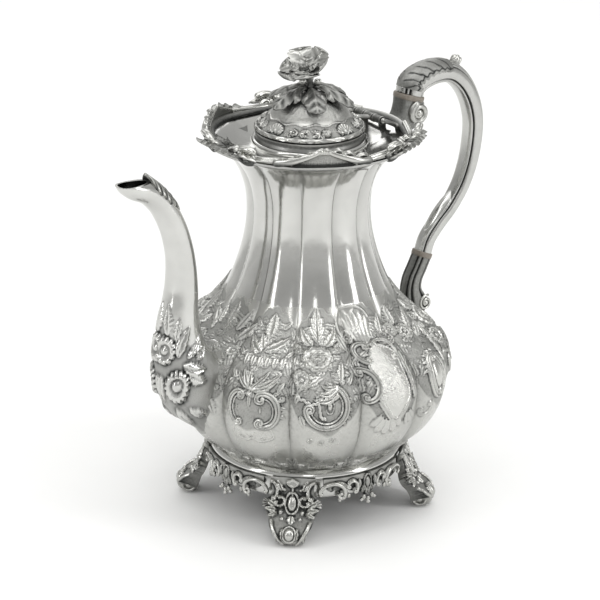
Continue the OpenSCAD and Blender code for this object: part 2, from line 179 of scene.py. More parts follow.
class Shape:
    """A closed mesh under construction, in millimetres, with a darkness value at each point that holds both
    patina and painted shade.
    """

    def __init__(self) -> None:
        """Starts empty."""
        self.points: list[Array] = []
        self.faces: list[Array | list[int]] = []
        self.patina_and_shade: list[Array] = []
        self.matt: list[Array] = []
        self.count = 0

    def add(self, points: Array, faces: Iterable[Sequence[int]], patina_and_shade: Values = 0.0,
            matt: Values = 0.0) -> None:
        """Adds points and the faces between them.

        Args:
            points: array of points, last axis x, y, z.
            faces: point numbers of each face, counted from these points' first.
            patina_and_shade: darkness at each point, or one for all.
            matt: matting at each point, or one for all.
        """
        flat = np.asarray(points, float).reshape(-1, 3)
        self.points.append(flat)
        for values, store in ((patina_and_shade, self.patina_and_shade), (matt, self.matt)):
            store.append(np.broadcast_to(np.asarray(values, float).ravel(), (len(flat),)).copy())
        start = self.count
        self.faces.extend([[start + int(i) for i in f] for f in faces])
        self.count += len(flat)

    def loft(self, rings: Array, patina_and_shade: Values = 0.0, close: bool = False) -> "Shape":
        """Skins rings of points; the ends are closed with fans unless the rings meet.

        Args:
            rings: array of rings, points and x, y, z.
            patina_and_shade: darkness, one value or one for each ring point.
            close: join the last ring to the first.

        Returns:
            The shape itself.
        """
        n, m, _ = rings.shape
        ids = np.arange(n * m).reshape(n, m)
        rows = n if close else n - 1
        a = ids[:rows]
        b = np.roll(ids, -1, axis=0)[:rows]
        faces = np.stack([a, np.roll(a, -1, 1), np.roll(b, -1, 1), b], -1).reshape(-1, 4).tolist()
        points = rings.reshape(-1, 3)
        dark = np.broadcast_to(np.asarray(patina_and_shade, float), (n, m)).ravel()
        if not close:
            points = np.vstack([points, rings[0].mean(0), rings[-1].mean(0)])
            dark = np.append(dark, [dark[0], dark[-1]])
            for centre, ring, flip in ((n * m, ids[0], True), (n * m + 1, ids[-1], False)):
                nxt = np.roll(ring, -1)
                faces += [[centre, j, i] if flip else [centre, i, j] for i, j in zip(ring, nxt)]
        self.add(points, faces, dark)
        return self

    def skin(self, front: Array, back: Array, stride: int, wrap: bool = False, patina_and_shade: Values = 0.0,
             matt: Values = 0.0, back_patina_and_shade: Values = 0.5) -> "Shape":
        """Closed sheet: a fine front, a coarser back, and the four edges between them.

        Args:
            front: grid of front points.
            back: grid of back points on every stride-th column of the front.
            stride: front columns for each back column.
            wrap: the columns run right round.
            patina_and_shade: darkness of the front.
            matt: matting of the front.
            back_patina_and_shade: darkness of the back, painted shade on its hidden side.

        Returns:
            The shape itself.
        """
        rows, cols, _ = front.shape
        back_cols = back.shape[1]
        f = np.arange(rows * cols).reshape(rows, cols)
        b = rows * cols + np.arange(rows * back_cols).reshape(rows, back_cols)
        if wrap:
            f = np.hstack([f, f[:, :1]])
            b = np.hstack([b, b[:, :1]])
        faces = np.stack([f[:-1, :-1], f[:-1, 1:], f[1:, 1:], f[1:, :-1]], -1).reshape(-1, 4).tolist()
        faces += np.stack([b[:-1, :-1], b[1:, :-1], b[1:, 1:], b[:-1, 1:]], -1).reshape(-1, 4).tolist()
        for j in range(b.shape[1] - 1):
            for row, flip in ((0, True), (rows - 1, False)):
                loop = [*f[row, j * stride : (j + 1) * stride + 1].tolist(), int(b[row, j + 1]),
                        int(b[row, j])]
                faces.append(loop[::-1] if flip else loop)
        if not wrap:
            faces += np.stack([f[:-1, 0], f[1:, 0], b[1:, 0], b[:-1, 0]], -1).tolist()
            faces += np.stack([f[:-1, -1], b[:-1, -1], b[1:, -1], f[1:, -1]], -1).tolist()
        spare = rows * back_cols
        dark = np.append(np.broadcast_to(patina_and_shade, (rows, cols)).ravel(),
                         np.broadcast_to(back_patina_and_shade, (rows, back_cols)).ravel())
        dull = np.append(np.broadcast_to(matt, (rows, cols)).ravel(), np.zeros(spare))
        self.add(np.vstack([front.reshape(-1, 3), back.reshape(-1, 3)]), faces, dark, dull)
        return self

    def tube(self, path: Array, radius: Values, sides: int = 10, flat: float = 1.0, up: Point = (0, 0, 1),
             patina_and_shade: float = 0.0) -> "Shape":
        """Rod along a path, with rounded ends.

        Args:
            path: points that its middle follows.
            radius: radius, one or one for each point.
            sides: sides of its section.
            flat: its thickness along up, as a share of its width.
            up: direction that its section keeps to.
            patina_and_shade: darkness.

        Returns:
            The shape itself.
        """
        path = np.asarray(path, float)
        r = np.broadcast_to(np.asarray(radius, float), (len(path),)).copy()
        along = unit(np.gradient(path, axis=0))
        side = unit(np.cross(along, np.broadcast_to(np.asarray(up, float), along.shape)))
        over = unit(np.cross(side, along))
        a = np.arange(sides) / sides * TAU
        ring = side[:, None] * np.cos(a)[None, :, None] + flat * over[:, None] * np.sin(a)[None, :, None]
        rings = path[:, None] + ring * r[:, None, None]
        ends = []
        for index, sign in ((0, -1.0), (-1, 1.0)):
            tips = [
                path[index] + sign * along[index] * r[index] * reach + ring[index] * r[index] * shrink
                for reach, shrink in ((0.45, 0.85), (0.8, 0.5), (0.95, 0.15))
            ]
            ends.append(np.array(tips[::-1] if index == 0 else tips))
        return self.loft(np.concatenate([ends[0], rings, ends[1]]), patina_and_shade)

    def ball(self, at: Point, radii: Point, turn: Matrix | None = None, patina_and_shade: float = 0.0,
             detail: int = 10) -> "Shape":
        """Ellipsoid.

        Args:
            at: its middle.
            radii: its three half sizes.
            turn: rotation, or none.
            patina_and_shade: darkness.
            detail: rows from pole to pole.

        Returns:
            The shape itself.
        """
        v = np.linspace(0, pi, detail + 1)[1:-1]
        u = np.arange(detail * 2) / (detail * 2) * TAU
        rings = wound(np.sin(v)[:, None], u, np.cos(v)[:, None]) * np.asarray(radii, float)
        if turn is not None:
            rings = rings @ np.array(turn.to_3x3()).T
        return self.loft(rings + np.asarray(at, float), patina_and_shade)

    def berries(self, at: Point, reach: float, count: int, radii: Point, patina_and_shade: float = 0.0,
                detail: int = 6) -> None:
        """Ring of small ellipsoids round a place."""
        for k in range(count):
            a = k * TAU / count
            self.ball(np.add(at, (reach * cos(a), reach * sin(a), 0)), radii, patina_and_shade=patina_and_shade, detail=detail)

    def volutes(self, at: Point, turns: Array, reach: float, shrink: float, start: float, thick: Values,
                sides: int, hub: Point, proud: float, patina_and_shade: float = 0.0) -> None:
        """Flat spiral on each side of the middle plane, with a boss at its eye.

        Args:
            at: its eye: distance out, half width, height.
            turns: angles in radians that it runs through.
            reach: its outer radius.
            shrink: share of that radius that its inner end has lost.
            start: angle that it is turned by.
            thick: radius of its rod.
            sides: sides of its rod.
            hub: half sizes of the boss.
            proud: how far the boss stands beyond the rod.
            patina_and_shade: darkness of the rod.
        """
        x, y, z = at
        rho = reach * (1 - shrink * turns / turns[-1])
        out, high = x + rho * np.cos(turns + start), z + rho * np.sin(turns + start)
        for side in (-1, 1):
            self.tube(np.stack([out, 0 * out + side * y, high], -1), thick, sides, up=(0, 1, 0),
                      patina_and_shade=patina_and_shade)
            self.ball((x, side * (y + proud), z), hub, detail=8)

    def revolve(self, profile: Array, segments: int = 192, patina_and_shade: Values = 0.0,
                warp: Callable[[Array, Array], Array] | None = None) -> "Shape":
        """Turns a closed outline (radius, height) about the pot's axis.

        Args:
            profile: outline points; the last joins the first.
            segments: steps round the axis.
            patina_and_shade: darkness at each outline point, or one for all.
            warp: changes the radius, given the angles and the radii.

        Returns:
            The shape itself.
        """
        a = np.arange(segments) / segments * TAU
        r = np.broadcast_to(profile[:, 0], (segments, len(profile)))
        if warp:
            r = warp(a[:, None], r)
        rings = wound(r, a[:, None], profile[:, 1])
        dark = np.broadcast_to(np.asarray(patina_and_shade, float), (segments, len(profile)))
        return self.loft(rings, dark, close=True)

    def gathered(self) -> Array:
        """Gathers everything added so far into one block, and returns its points."""
        for store in (self.points, self.patina_and_shade, self.matt):
            store[:] = [np.concatenate(store)]
        return self.points[0]

    def build(self, name: str, material: bpy.types.Material, sharp: float = 50.0) -> bpy.types.Object:
        """Makes the finished mesh object, in metres, at the origin.

        Args:
            name: the object's name.
            material: its finish.
            sharp: angle in degrees past which an edge is drawn sharp.

        Returns:
            The object, linked to the scene.
        """
        mesh = bpy.data.meshes.new(name)
        mesh.from_pydata((self.gathered() * MM).tolist(), [], self.faces)
        for label, values in (("patina_and_shade", self.patina_and_shade), ("matt", self.matt)):
            layer = mesh.attributes.new(label, "FLOAT", "POINT")
            layer.data.foreach_set("value", values[0].astype(np.float32))
        bm = bmesh.new()
        bm.from_mesh(mesh)
        bmesh.ops.remove_doubles(bm, verts=bm.verts, dist=1e-6)
        bmesh.ops.dissolve_degenerate(bm, edges=bm.edges, dist=1e-7)
        bmesh.ops.recalc_face_normals(bm, faces=bm.faces)
        bm.to_mesh(mesh)
        bm.free()
        mesh.materials.append(material)
        mesh.shade_smooth()
        mesh.set_sharp_from_angle(angle=radians(sharp))
        obj = bpy.data.objects.new(name, mesh)
        bpy.context.scene.collection.objects.link(obj)
        return obj


def place(obj: bpy.types.Object, body: Body, slot: Slot, *nodes: str) -> bpy.types.Object:
    """Attaches a piece to its body, hides the CAD nodes that it stands for and logs it."""
    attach(obj, body.value)
    if nodes:
        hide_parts(*nodes)
    log.info("%s: %d faces, rides on %s", obj.name, len(obj.data.polygons), body.value)
    return obj


# ---------------------------------------------------------------- chasing


class Relief:
    """Height map in mm over a flat panel, built up from chased motifs."""

    def __init__(self, x: Array, y: Array) -> None:
        """Starts with a plain panel whose points lie at x and y."""
        self.x = x
        self.y = y
        self.height = np.zeros_like(x)
        self.matt = np.zeros_like(x)
        self.polish = np.zeros_like(x)

    def near(self, at: Point, reach: float, radii: Point = (1, 1)) -> tuple[Array, Array, Array]:
        """Mask of the points within reach of a place, and how far across and up they lie, in radii."""
        mask = (np.abs(self.x - at[0]) < reach) & (np.abs(self.y - at[1]) < reach)
        return mask, (self.x[mask] - at[0]) / radii[0], (self.y[mask] - at[1]) / radii[1]

    def lift(self, mask: Array, bump: Array) -> None:
        """Raises the masked points to at least bump."""
        self.height[mask] = np.maximum(self.height[mask], bump)

    def ground(self, inside: Array, depth: float) -> None:
        """Sinks and mats the ground where inside is 1."""
        self.height -= depth * inside
        self.matt = np.maximum(self.matt, inside)

    def prick(self, seed: int, depth: float) -> None:
        """Roughens the matted ground with small pricks."""
        pricks = np.random.default_rng(seed).normal(0, depth, self.height.shape)
        self.height += np.where(self.matt > 0.5, pricks, 0)

    def stroke(self, path: Array, width: Values, height: float, split: float = 0.0) -> None:
        """Rounded ridge along a path.

        Args:
            path: closely spaced points.
            width: half width, one or one for each point.
            height: height of the ridge.
            split: depth of the groove along its crest, as a share of height.
        """
        w = np.broadcast_to(np.asarray(width, float), (len(path),))
        middle = (path.min(0) + path.max(0)) / 2
        mask, dx, dy = self.near(middle, float((path.max(0) - path.min(0)).max() / 2 + w.max() + 0.5))
        d = np.hypot(*(np.stack([dx, dy])[..., None] - (path - middle).T[:, None]))
        best = np.argmin(d - w, axis=1)
        rows = np.arange(len(best))
        dist, wide = d[rows, best], w[best]
        bump = (height + 0.25) * dome(dist, wide) - 0.25
        bump -= height * split * bell(dist / (0.26 * wide))
        self.lift(mask, np.where(dist < wide, bump, -9))

    def scroll(self, at: Point, radii: Point, start: float, sweep: float, width: float = 1.1,
               height: float = 1.1, curls: Point = (1.0, 1.0), split: float = 0.45) -> None:
        """C-scroll: an arc whose two ends curl inwards.

        Args:
            at: centre of the arc.
            radii: its two radii.
            start: angle in degrees where it starts.
            sweep: angle that it covers, positive anticlockwise.
            width: half width of the ridge at its middle.
            height: height of the ridge.
            curls: size of the curl at each end, as a share of a normal one.
            split: depth of the groove along the crest.
        """
        path, widths = c_scroll(at, radii, start, sweep, width, curls)
        self.stroke(path, widths, height, split)
        for end in (0, -1):
            mask, dx, dy = self.near(path[end], 2.5)
            d = np.hypot(dx, dy)
            self.lift(mask, height * 1.1 * dome(d, width * 0.75) - 9 * (d >= width * 0.75))

    def leaf(self, base: Point, tip: Point, width: float, height: float = 1.0, teeth: int = 5,
             bend: float = 0.0) -> None:
        """Veined leaf with a toothed edge.

        Args:
            base: where its stalk starts.
            tip: its point.
            width: its half width.
            height: its height.
            teeth: teeth along each side.
            bend: sideways bow of its midrib, as a share of its length.
        """
        b, t = np.asarray(base, float), np.asarray(tip, float)
        length = float(np.hypot(*(t - b)))
        along = (t - b) / length
        mask, dx, dy = self.near((b + t) / 2, length * 0.5 + width + abs(bend) * length + 1)
        dx, dy = dx + (t - b)[0] / 2, dy + (t - b)[1] / 2
        u = np.clip((dx * along[0] + dy * along[1]) / length, -0.2, 1.2)
        v = -dx * along[1] + dy * along[0] - bend * length * 4 * u * (1 - u)
        inside = np.clip(u, 0.001, 0.999)
        saw = ((inside * teeth + 0.2) % 1.0) ** 1.5 if teeth else 0.5
        w = width * np.sin(pi * inside**0.78) ** 0.85 * (0.84 + 0.34 * saw)
        share = np.clip(np.abs(v) / np.maximum(w, 1e-3), 0, 1.5)
        fill = np.sin(pi * (0.14 + 0.86 * np.minimum(share, 1))) ** 0.7
        bump = (height + 0.4) * fill * (0.55 + 0.45 * np.sin(pi * inside**0.6)) - 0.4
        slots = np.abs(np.sin(pi * (inside * max(teeth, 2) * 1.6 - share * 0.9)))
        bump -= 0.26 * bell(slots / 0.22) * smooth(share, 0.05, 0.3) * (share < 0.95)
        bump -= 0.2 * bell(v / 0.3)
        ok = (share < 1) & (u > 0) & (u < 1)
        self.lift(mask, np.where(ok, bump, -9))

    def leaves(self, *rows: Sequence) -> None:
        """Several leaves, each row in the order that leaf takes its values."""
        for row in rows:
            self.leaf(*row)

    def daisy(self, at: Point, radius: float, petals: int, height: float = 1.2, cup: float = 0.3) -> None:
        """Open flower with rounded petals round a button.

        Args:
            at: its middle.
            radius: its outer radius.
            petals: how many petals it has.
            height: its height.
            cup: radius of the hollow round the button, as a share of the whole.
        """
        mask, dx, dy = self.near(at, radius + 1)
        rho, angle = np.hypot(dx, dy), np.arctan2(dy, dx)
        lobe = np.abs(np.cos(petals * angle / 2))
        edge = radius * (0.8 + 0.2 * lobe**0.5)
        share = rho / edge
        rolled = 1 - 0.9 * smooth(share, 0.8, 1.02)
        bump = (height + 0.4) * (0.3 + 0.7 * smooth(share, cup, 0.7)) * rolled - 0.3
        bump -= 0.55 * bell(lobe / 0.3) * smooth(share, cup, cup + 0.2)
        button = height * 1.05 * dome(rho, radius * cup * 0.9)
        self.lift(mask, np.where(share < 1, np.maximum(bump, button), -9))

    def ruffle(self, at: Point, radii: Point, waves: int, height: float = 1.1, hollow: float = 0.45) -> None:
        """Frilled rosette: a wavy raised rim round a hollow with small curls.

        Args:
            at: its middle.
            radii: its two radii.
            waves: waves round its rim.
            height: its height.
            hollow: radius of the hollow as a share of the whole.
        """
        mask, dx, dy = self.near(at, max(radii) + 1, radii)
        rho, angle = np.hypot(dx, dy), np.arctan2(dy, dx)
        petal = np.abs(np.cos(waves * angle / 2))
        edge = 0.86 + 0.14 * petal**0.5
        share = rho / edge
        rim = height * bell((share - 0.86) / 0.1) * (0.55 + 0.45 * petal**0.4)
        crumple = np.cos(waves * angle + 1.5 + 7 * rho) * np.cos(5 * rho + 3 * angle)
        inner = height * 0.7 * bell((share - hollow) / 0.16) * (0.6 + 0.5 * crumple)
        eye = height * 0.8 * dome(rho, hollow * 0.4)
        base = height * (0.2 + 0.25 * petal) * (1 - smooth(share, 0.85, 1.0))
        base *= smooth(share, hollow * 0.6, 0.8)
        self.lift(mask, np.where(share < 1.04, np.maximum.reduce([rim, inner, eye, base]), -9))

    def fan(self, at: Point, heading: float, reach: float, spread: float, ribs: int, height: float = 1.0,
            foot: float = 0.12) -> None:
        """Ribbed shell that opens from a point.

        Args:
            at: the point that its ribs run from.
            heading: direction in degrees that it opens to.
            reach: length of its ribs.
            spread: half angle in degrees.
            ribs: how many ribs it has.
            height: its height.
            foot: bare share of the reach at its foot.
        """
        mask, dx, dy = self.near(at, reach + 1)
        rho = np.hypot(dx, dy)
        turn = (np.degrees(np.arctan2(dy, dx)) - heading + 180) % 360 - 180
        rib = np.abs(np.cos(pi * ribs * (turn + spread) / (2 * spread) - pi / 2))
        edge = reach * (0.86 + 0.14 * rib) * (1 - 0.16 * (turn / spread) ** 2)
        share = rho / edge
        rolled = 1 - 0.9 * smooth(share, 0.88, 1.0)
        bump = (height + 0.4) * (0.35 + 0.65 * share) * (0.6 + 0.4 * rib**0.5) * rolled - 0.3
        ok = (np.abs(turn) < spread) & (share < 1) & (share > foot)
        self.lift(mask, np.where(ok, bump, -9))

    def boss(self, at: Point, radii: Point, height: float, rim: float = 0.0) -> None:
        """Domed oval, with a raised rim if one is asked for.

        Args:
            at: its middle.
            radii: its two radii.
            height: its height.
            rim: width of the groove and rim round it, in mm.
        """
        mask, dx, dy = self.near(at, max(radii) + rim + 1, radii)
        d = np.hypot(dx, dy)
        self.lift(mask, np.where(d < 1, height * dome(d, 1.0), -9))
        if rim:
            edge = 1 + rim / min(radii)
            self.lift(mask, np.where(np.abs(d - edge) < 0.2, height * 0.6 * dome(d - edge, 0.2), -9))

    def plate(self, corners: Sequence[Point], height: float, rim: float = 0.0) -> None:
        """Flat polished field with a raised edge.

        Args:
            corners: its outline in order.
            height: its height.
            rim: height of its edge above the field.
        """
        loop = spline(list(corners) + [corners[0]], 8)
        middle = (loop.min(0) + loop.max(0)) / 2
        mask = self.near(middle, float((loop.max(0) - loop.min(0)).max() / 2 + 2))[0]
        px, py = self.x[mask][:, None], self.y[mask][:, None]
        (ax, ay), (bx, by) = loop[:-1].T, loop[1:].T
        slope = (bx - ax) / np.where(np.abs(by - ay) < 1e-9, 1e-9, by - ay)
        crossing = ((ay > py) != (by > py)) & (px < ax + (py - ay) * slope)
        inside = crossing.sum(1) % 2 == 1
        edge = np.hypot(px - loop[:, 0], py - loop[:, 1]).min(1)
        self.lift(mask, np.where(inside, height * smooth(edge, 0, 0.8), -9))
        self.matt[mask] = np.where(inside, 0.0, self.matt[mask])
        self.polish[mask] = np.maximum(self.polish[mask], inside * smooth(edge, 0.2, 0.9))
        if rim:
            self.lift(mask, np.where(edge < 0.8, (height + rim) * dome(edge, 0.8), -9))


def c_scroll(at: Point, radii: Point, start: float, sweep: float, width: float,
             curls: Point) -> tuple[Array, Array]:
    """Path and half widths of a C-scroll in a plane, as Relief.scroll describes it."""
    a = np.radians(np.linspace(start, start + sweep, 60))
    centre = np.asarray(at, float)
    arc = centre + np.stack([radii[0] * np.cos(a), radii[1] * np.sin(a)], -1)
    size = min(radii)
    parts = [arc]
    for end, curl in ((0, curls[0]), (-1, curls[1])):
        if curl <= 0:
            continue
        tangent = arc[end] - arc[1 if end == 0 else -2]
        tangent /= np.hypot(*tangent)
        inward = centre - arc[end]
        inward -= tangent * (inward @ tangent)
        inward /= max(np.hypot(*inward), 1e-6)
        tau = np.linspace(0.1, 1.55 * pi, 26)[:, None]
        rho = size * 0.3 * curl * (1 - 0.62 * tau / (1.55 * pi))
        hub = arc[end] + inward * size * 0.3 * curl
        swirl = hub + rho * (-inward * np.cos(tau) + tangent * np.sin(tau))
        parts = [swirl[::-1], *parts] if end == 0 else [*parts, swirl]
    path = np.vstack(parts)
    share = np.linspace(-1, 1, len(path))
    return path, width * (0.55 + 0.45 * (1 - share**2) ** 0.6)


# ---------------------------------------------------------------- finishes


class Wiring:
    """Small helper that adds and joins the nodes of one tree."""

    def __init__(self, tree: bpy.types.NodeTree) -> None:
        """Takes the tree that it works on."""
        self.tree = tree

    def add(self, kind: str, **settings: object) -> bpy.types.Node:
        """Adds a node.

        Args:
            kind: the node's type.
            **settings: values for the node's own properties and its inputs; a socket is joined to its input.

        Returns:
            The node.
        """
        node = self.tree.nodes.new(kind)
        for key, value in settings.items():
            label = key.replace("_", " ")
            if hasattr(node, key):
                setattr(node, key, value)
            elif isinstance(value, bpy.types.NodeSocket):
                self.join(value, node.inputs[label])
            else:
                node.inputs[label].default_value = value
        return node

    def join(self, start: bpy.types.NodeSocket, end: bpy.types.NodeSocket) -> None:
        """Links an output to an input."""
        self.tree.links.new(start, end)

    def math(self, operation: str, *values: object) -> bpy.types.NodeSocket:
        """Adds a Math node whose inputs are numbers or sockets, and returns its output."""
        node = self.add("ShaderNodeMath", operation=operation)
        for socket, value in zip(node.inputs, values):
            if isinstance(value, bpy.types.NodeSocket):
                self.join(value, socket)
            else:
                socket.default_value = value
        return node.outputs[0]

    def spot(self) -> bpy.types.NodeSocket:
        """Position on the piece, in Object coordinates."""
        return self.add("ShaderNodeTexCoord").outputs["Object"]

    def blend(self, share: bpy.types.NodeSocket, first: Point, second: Point) -> bpy.types.NodeSocket:
        """Mixes two colours by share, and returns the colour."""
        node = self.add("ShaderNodeMix", data_type="RGBA")
        self.join(share, node.inputs[0])
        node.inputs[6].default_value = (*first, 1)
        node.inputs[7].default_value = (*second, 1)
        return node.outputs[2]


def blank_material(name: str) -> tuple[bpy.types.Material, Wiring]:
    """Empty material and the helper that wires it."""
    made = bpy.data.materials.new(name)
    made.use_nodes = True
    made.node_tree.nodes.clear()
    return made, Wiring(made.node_tree)


def shader_group(name: str, inputs: dict[str, float], output: str) -> tuple[Wiring, dict, bpy.types.Node]:
    """Starts a shader group with number sockets.

    Args:
        name: the group's name.
        inputs: names and starting values of its inputs.
        output: names of its outputs, with commas between them.

    Returns:
        Its wiring helper, its inputs' sockets by name and its output node.
    """
    tree = bpy.data.node_groups.new(name, "ShaderNodeTree")
    for label, value in inputs.items():
        tree.interface.new_socket(label, in_out="INPUT", socket_type="NodeSocketFloat").default_value = value
    for label in output.split(","):
        tree.interface.new_socket(label, in_out="OUTPUT", socket_type="NodeSocketFloat")
    wires = Wiring(tree)
    given = wires.add("NodeGroupInput").outputs
    return wires, {label: given[label] for label in inputs}, wires.add("NodeGroupOutput")


def tarnish_and_shade_group() -> bpy.types.NodeTree:
    """Shared effect: darkens where the mesh says so, for oxide in the hollows and for painted shade, with
    cloudy patches and finger-worn high spots.
    """
    inputs = {"Hollows": 0.0, "Matting": 0.0, "Clouds": 0.1, "Cloud scale": 40.0, "Depth": 1.0}
    w, given, out = shader_group("tarnish_and_shade", inputs, "Dark,Dull")
    cloud = w.add("ShaderNodeTexNoise", Detail=5.0, Roughness=0.6, Vector=w.spot(),
                  Scale=given["Cloud scale"])
    speck = w.add("ShaderNodeTexNoise", Scale=900.0, Detail=3.0, Vector=w.spot())
    patchy = w.math("SUBTRACT", cloud.outputs["Fac"], 0.42)
    patchy = w.math("MULTIPLY", w.math("MAXIMUM", patchy, 0.0), given["Clouds"])
    wear = w.math("ADD", 0.7, w.math("MULTIPLY", speck.outputs["Fac"], 0.6))
    # Darkening from the mesh's attribute: oxide in the hollows plus painted shade, broken up by fine speckle.
    oxide_and_painted_shade = w.math("MULTIPLY", w.math("MULTIPLY", given["Hollows"], wear), given["Depth"])
    matted = w.math("MULTIPLY", given["Matting"], 0.26)
    total = w.math("ADD", w.math("ADD", oxide_and_painted_shade, matted), w.math("MULTIPLY", patchy, 3.0))
    dull = w.math("ADD", w.math("MULTIPLY", oxide_and_painted_shade, 0.5), w.math("MULTIPLY", patchy, 0.8))
    w.join(w.math("MINIMUM", total, 1.0), out.inputs["Dark"])
    w.join(dull, out.inputs["Dull"])
    return w.tree


def tool_mark_group() -> bpy.types.NodeTree:
    """Shared effect: punch marks in matted ground, and the fine scratches and hammer ripple of old polish."""
    inputs = {"Matting": 0.0, "Punch scale": 1600.0, "Scratch": 0.2, "Ripple": 0.3}
    w, given, out = shader_group("tool_marks", inputs, "Height")
    punch = w.add("ShaderNodeTexVoronoi", Vector=w.spot(), Scale=given["Punch scale"])
    scratch = w.add("ShaderNodeTexNoise", Scale=2600.0, Detail=4.0, Distortion=1.5, Vector=w.spot())
    ripple = w.add("ShaderNodeTexNoise", Scale=110.0, Detail=1.5, Vector=w.spot())
    total = w.math("MULTIPLY", punch.outputs["Distance"], given["Matting"])
    total = w.math("ADD", total, w.math("MULTIPLY", scratch.outputs["Fac"], given["Scratch"]))
    total = w.math("ADD", total, w.math("MULTIPLY", ripple.outputs["Fac"], given["Ripple"]))
    w.join(total, out.inputs["Height"])
    return w.tree


@dataclass(frozen=True)
class Silver:
    """A silver finish.

    Attributes:
        name: the material's name.
        slot: the record's slot for it.
        bright: colour of clean metal.
        oxide_and_shade: colour of the darkest hollows and of the deepest painted shade.
        gloss: roughness of clean metal.
        clouds: strength of cloudy patches.
        depth: how strongly hollows darken.
        scratch: strength of the fine scratches.
        ripple: strength of the hammer ripple.
        relief: strength of all the tool marks, in metres.
    """

    name: str
    slot: Slot
    bright: tuple[float, float, float] = (0.58, 0.58, 0.555)
    oxide_and_shade: tuple[float, float, float] = (0.05, 0.052, 0.05)
    gloss: float = 0.14
    clouds: float = 0.12
    depth: float = 1.0
    scratch: float = 0.03
    ripple: float = 0.5
    relief: float = 0.0002

    def material(self, tarnish_and_shade: bpy.types.NodeTree, tool_marks: bpy.types.NodeTree) -> bpy.types.Material:
        """Builds the material.

        Args:
            tarnish_and_shade: the shared group that darkens for tarnish and for painted shade.
            tool_marks: the shared tool mark group.

        Returns:
            The material.
        """
        made, w = blank_material(self.name)
        # The mesh's darkness value: patina in the hollows together with painted shade.
        hollows_at = w.add("ShaderNodeAttribute", attribute_name="patina_and_shade").outputs["Fac"]
        matting = w.add("ShaderNodeAttribute", attribute_name="matt").outputs["Fac"]
        dirt_and_shade = w.add("ShaderNodeGroup", node_tree=tarnish_and_shade, Clouds=self.clouds, Depth=self.depth,
                     Hollows=hollows_at, Matting=matting).outputs
        marks = w.add("ShaderNodeGroup", node_tree=tool_marks, Scratch=self.scratch, Ripple=self.ripple,
                      Matting=matting)
        rough = w.math("ADD", self.gloss, w.math("MULTIPLY", matting, 0.2))
        rough = w.math("MINIMUM", w.math("ADD", rough, dirt_and_shade["Dull"]), 0.7)
        bump = w.add("ShaderNodeBump", Strength=1.0, Distance=self.relief, Height=marks.outputs["Height"])
        colour = w.blend(dirt_and_shade["Dark"], self.bright, self.oxide_and_shade)
        metal = w.add("ShaderNodeBsdfPrincipled", Metallic=1.0, Base_Color=colour, Roughness=rough,
                      Normal=bump.outputs["Normal"])
        w.add("ShaderNodeOutputMaterial", Surface=metal.outputs[0])
        return made


@dataclass(frozen=True)
class Ivory:
    """The insulators' ivory, yellowed and stained along its grain.

    Attributes:
        pale: its lighter colour.
        stain: colour of its grain lines.
        gloss: its roughness.
        grain: how closely the grain lines lie, per metre.
    """

    pale: tuple[float, float, float] = (0.3, 0.28, 0.24)
    stain: tuple[float, float, float] = (0.12, 0.09, 0.07)
    gloss: float = 0.4
    grain: float = 420.0

    def material(self) -> bpy.types.Material:
        """Builds the material."""
        made, w = blank_material("ivory")
        lines = w.add("ShaderNodeTexNoise", Scale=self.grain, Detail=4.0, Distortion=0.6, Vector=w.spot())
        colour = w.blend(lines.outputs["Fac"], self.pale, self.stain)
        bone = w.add("ShaderNodeBsdfPrincipled", Roughness=self.gloss, Base_Color=colour)
        w.add("ShaderNodeOutputMaterial", Surface=bone.outputs[0])
        return made


class Workshop:
    """Holds the finishes that the pieces are dressed with."""

    def __init__(self) -> None:
        """Builds every material once."""
        tarnish_and_shade, marks = tarnish_and_shade_group(), tool_mark_group()
        silvers = (
            Silver("chased silver", Slot.CHASED, gloss=0.25, clouds=0.2, depth=1.0, ripple=0.5, scratch=0.06),
            Silver("burnished silver", Slot.BURNISHED, bright=(0.62, 0.62, 0.6), gloss=0.12, clouds=0.14,
                   ripple=0.8, scratch=0.05),
            Silver("cast silver", Slot.CAST, bright=(0.55, 0.55, 0.525), gloss=0.2, clouds=0.16,
                   depth=1.15, ripple=0.2),
        )
        self.materials = {s.slot: s.material(tarnish_and_shade, marks) for s in silvers}
        self.materials[Slot.IVORY] = Ivory().material()

    def finish(self, shape: Shape, name: str, body: Body, slot: Slot, *nodes: str,
               sharp: float = 50.0) -> bpy.types.Object:
        """Builds a piece, dresses it and places it.

        Args:
            shape: its mesh.
            name: its name.
            body: the body that it rides on.
            slot: its finish.
            *nodes: the CAD nodes that it stands for.
            sharp: angle past which an edge is drawn sharp.

        Returns:
            The finished object.
        """
        return place(shape.build(name, self.materials[slot], sharp), body, slot, *nodes)

    def dress_kept(self, slots: dict[Slot, Sequence[str]]) -> None:
        """Gives the CAD nodes that stay in sight their finish."""
        for slot, names in slots.items():
            for name in names:
                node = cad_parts[name]
                node.data.materials.clear()
                node.data.materials.append(self.materials[slot])
                log.info("%s: kept, in %s", name, slot.value)


# ---------------------------------------------------------------- repeated parts


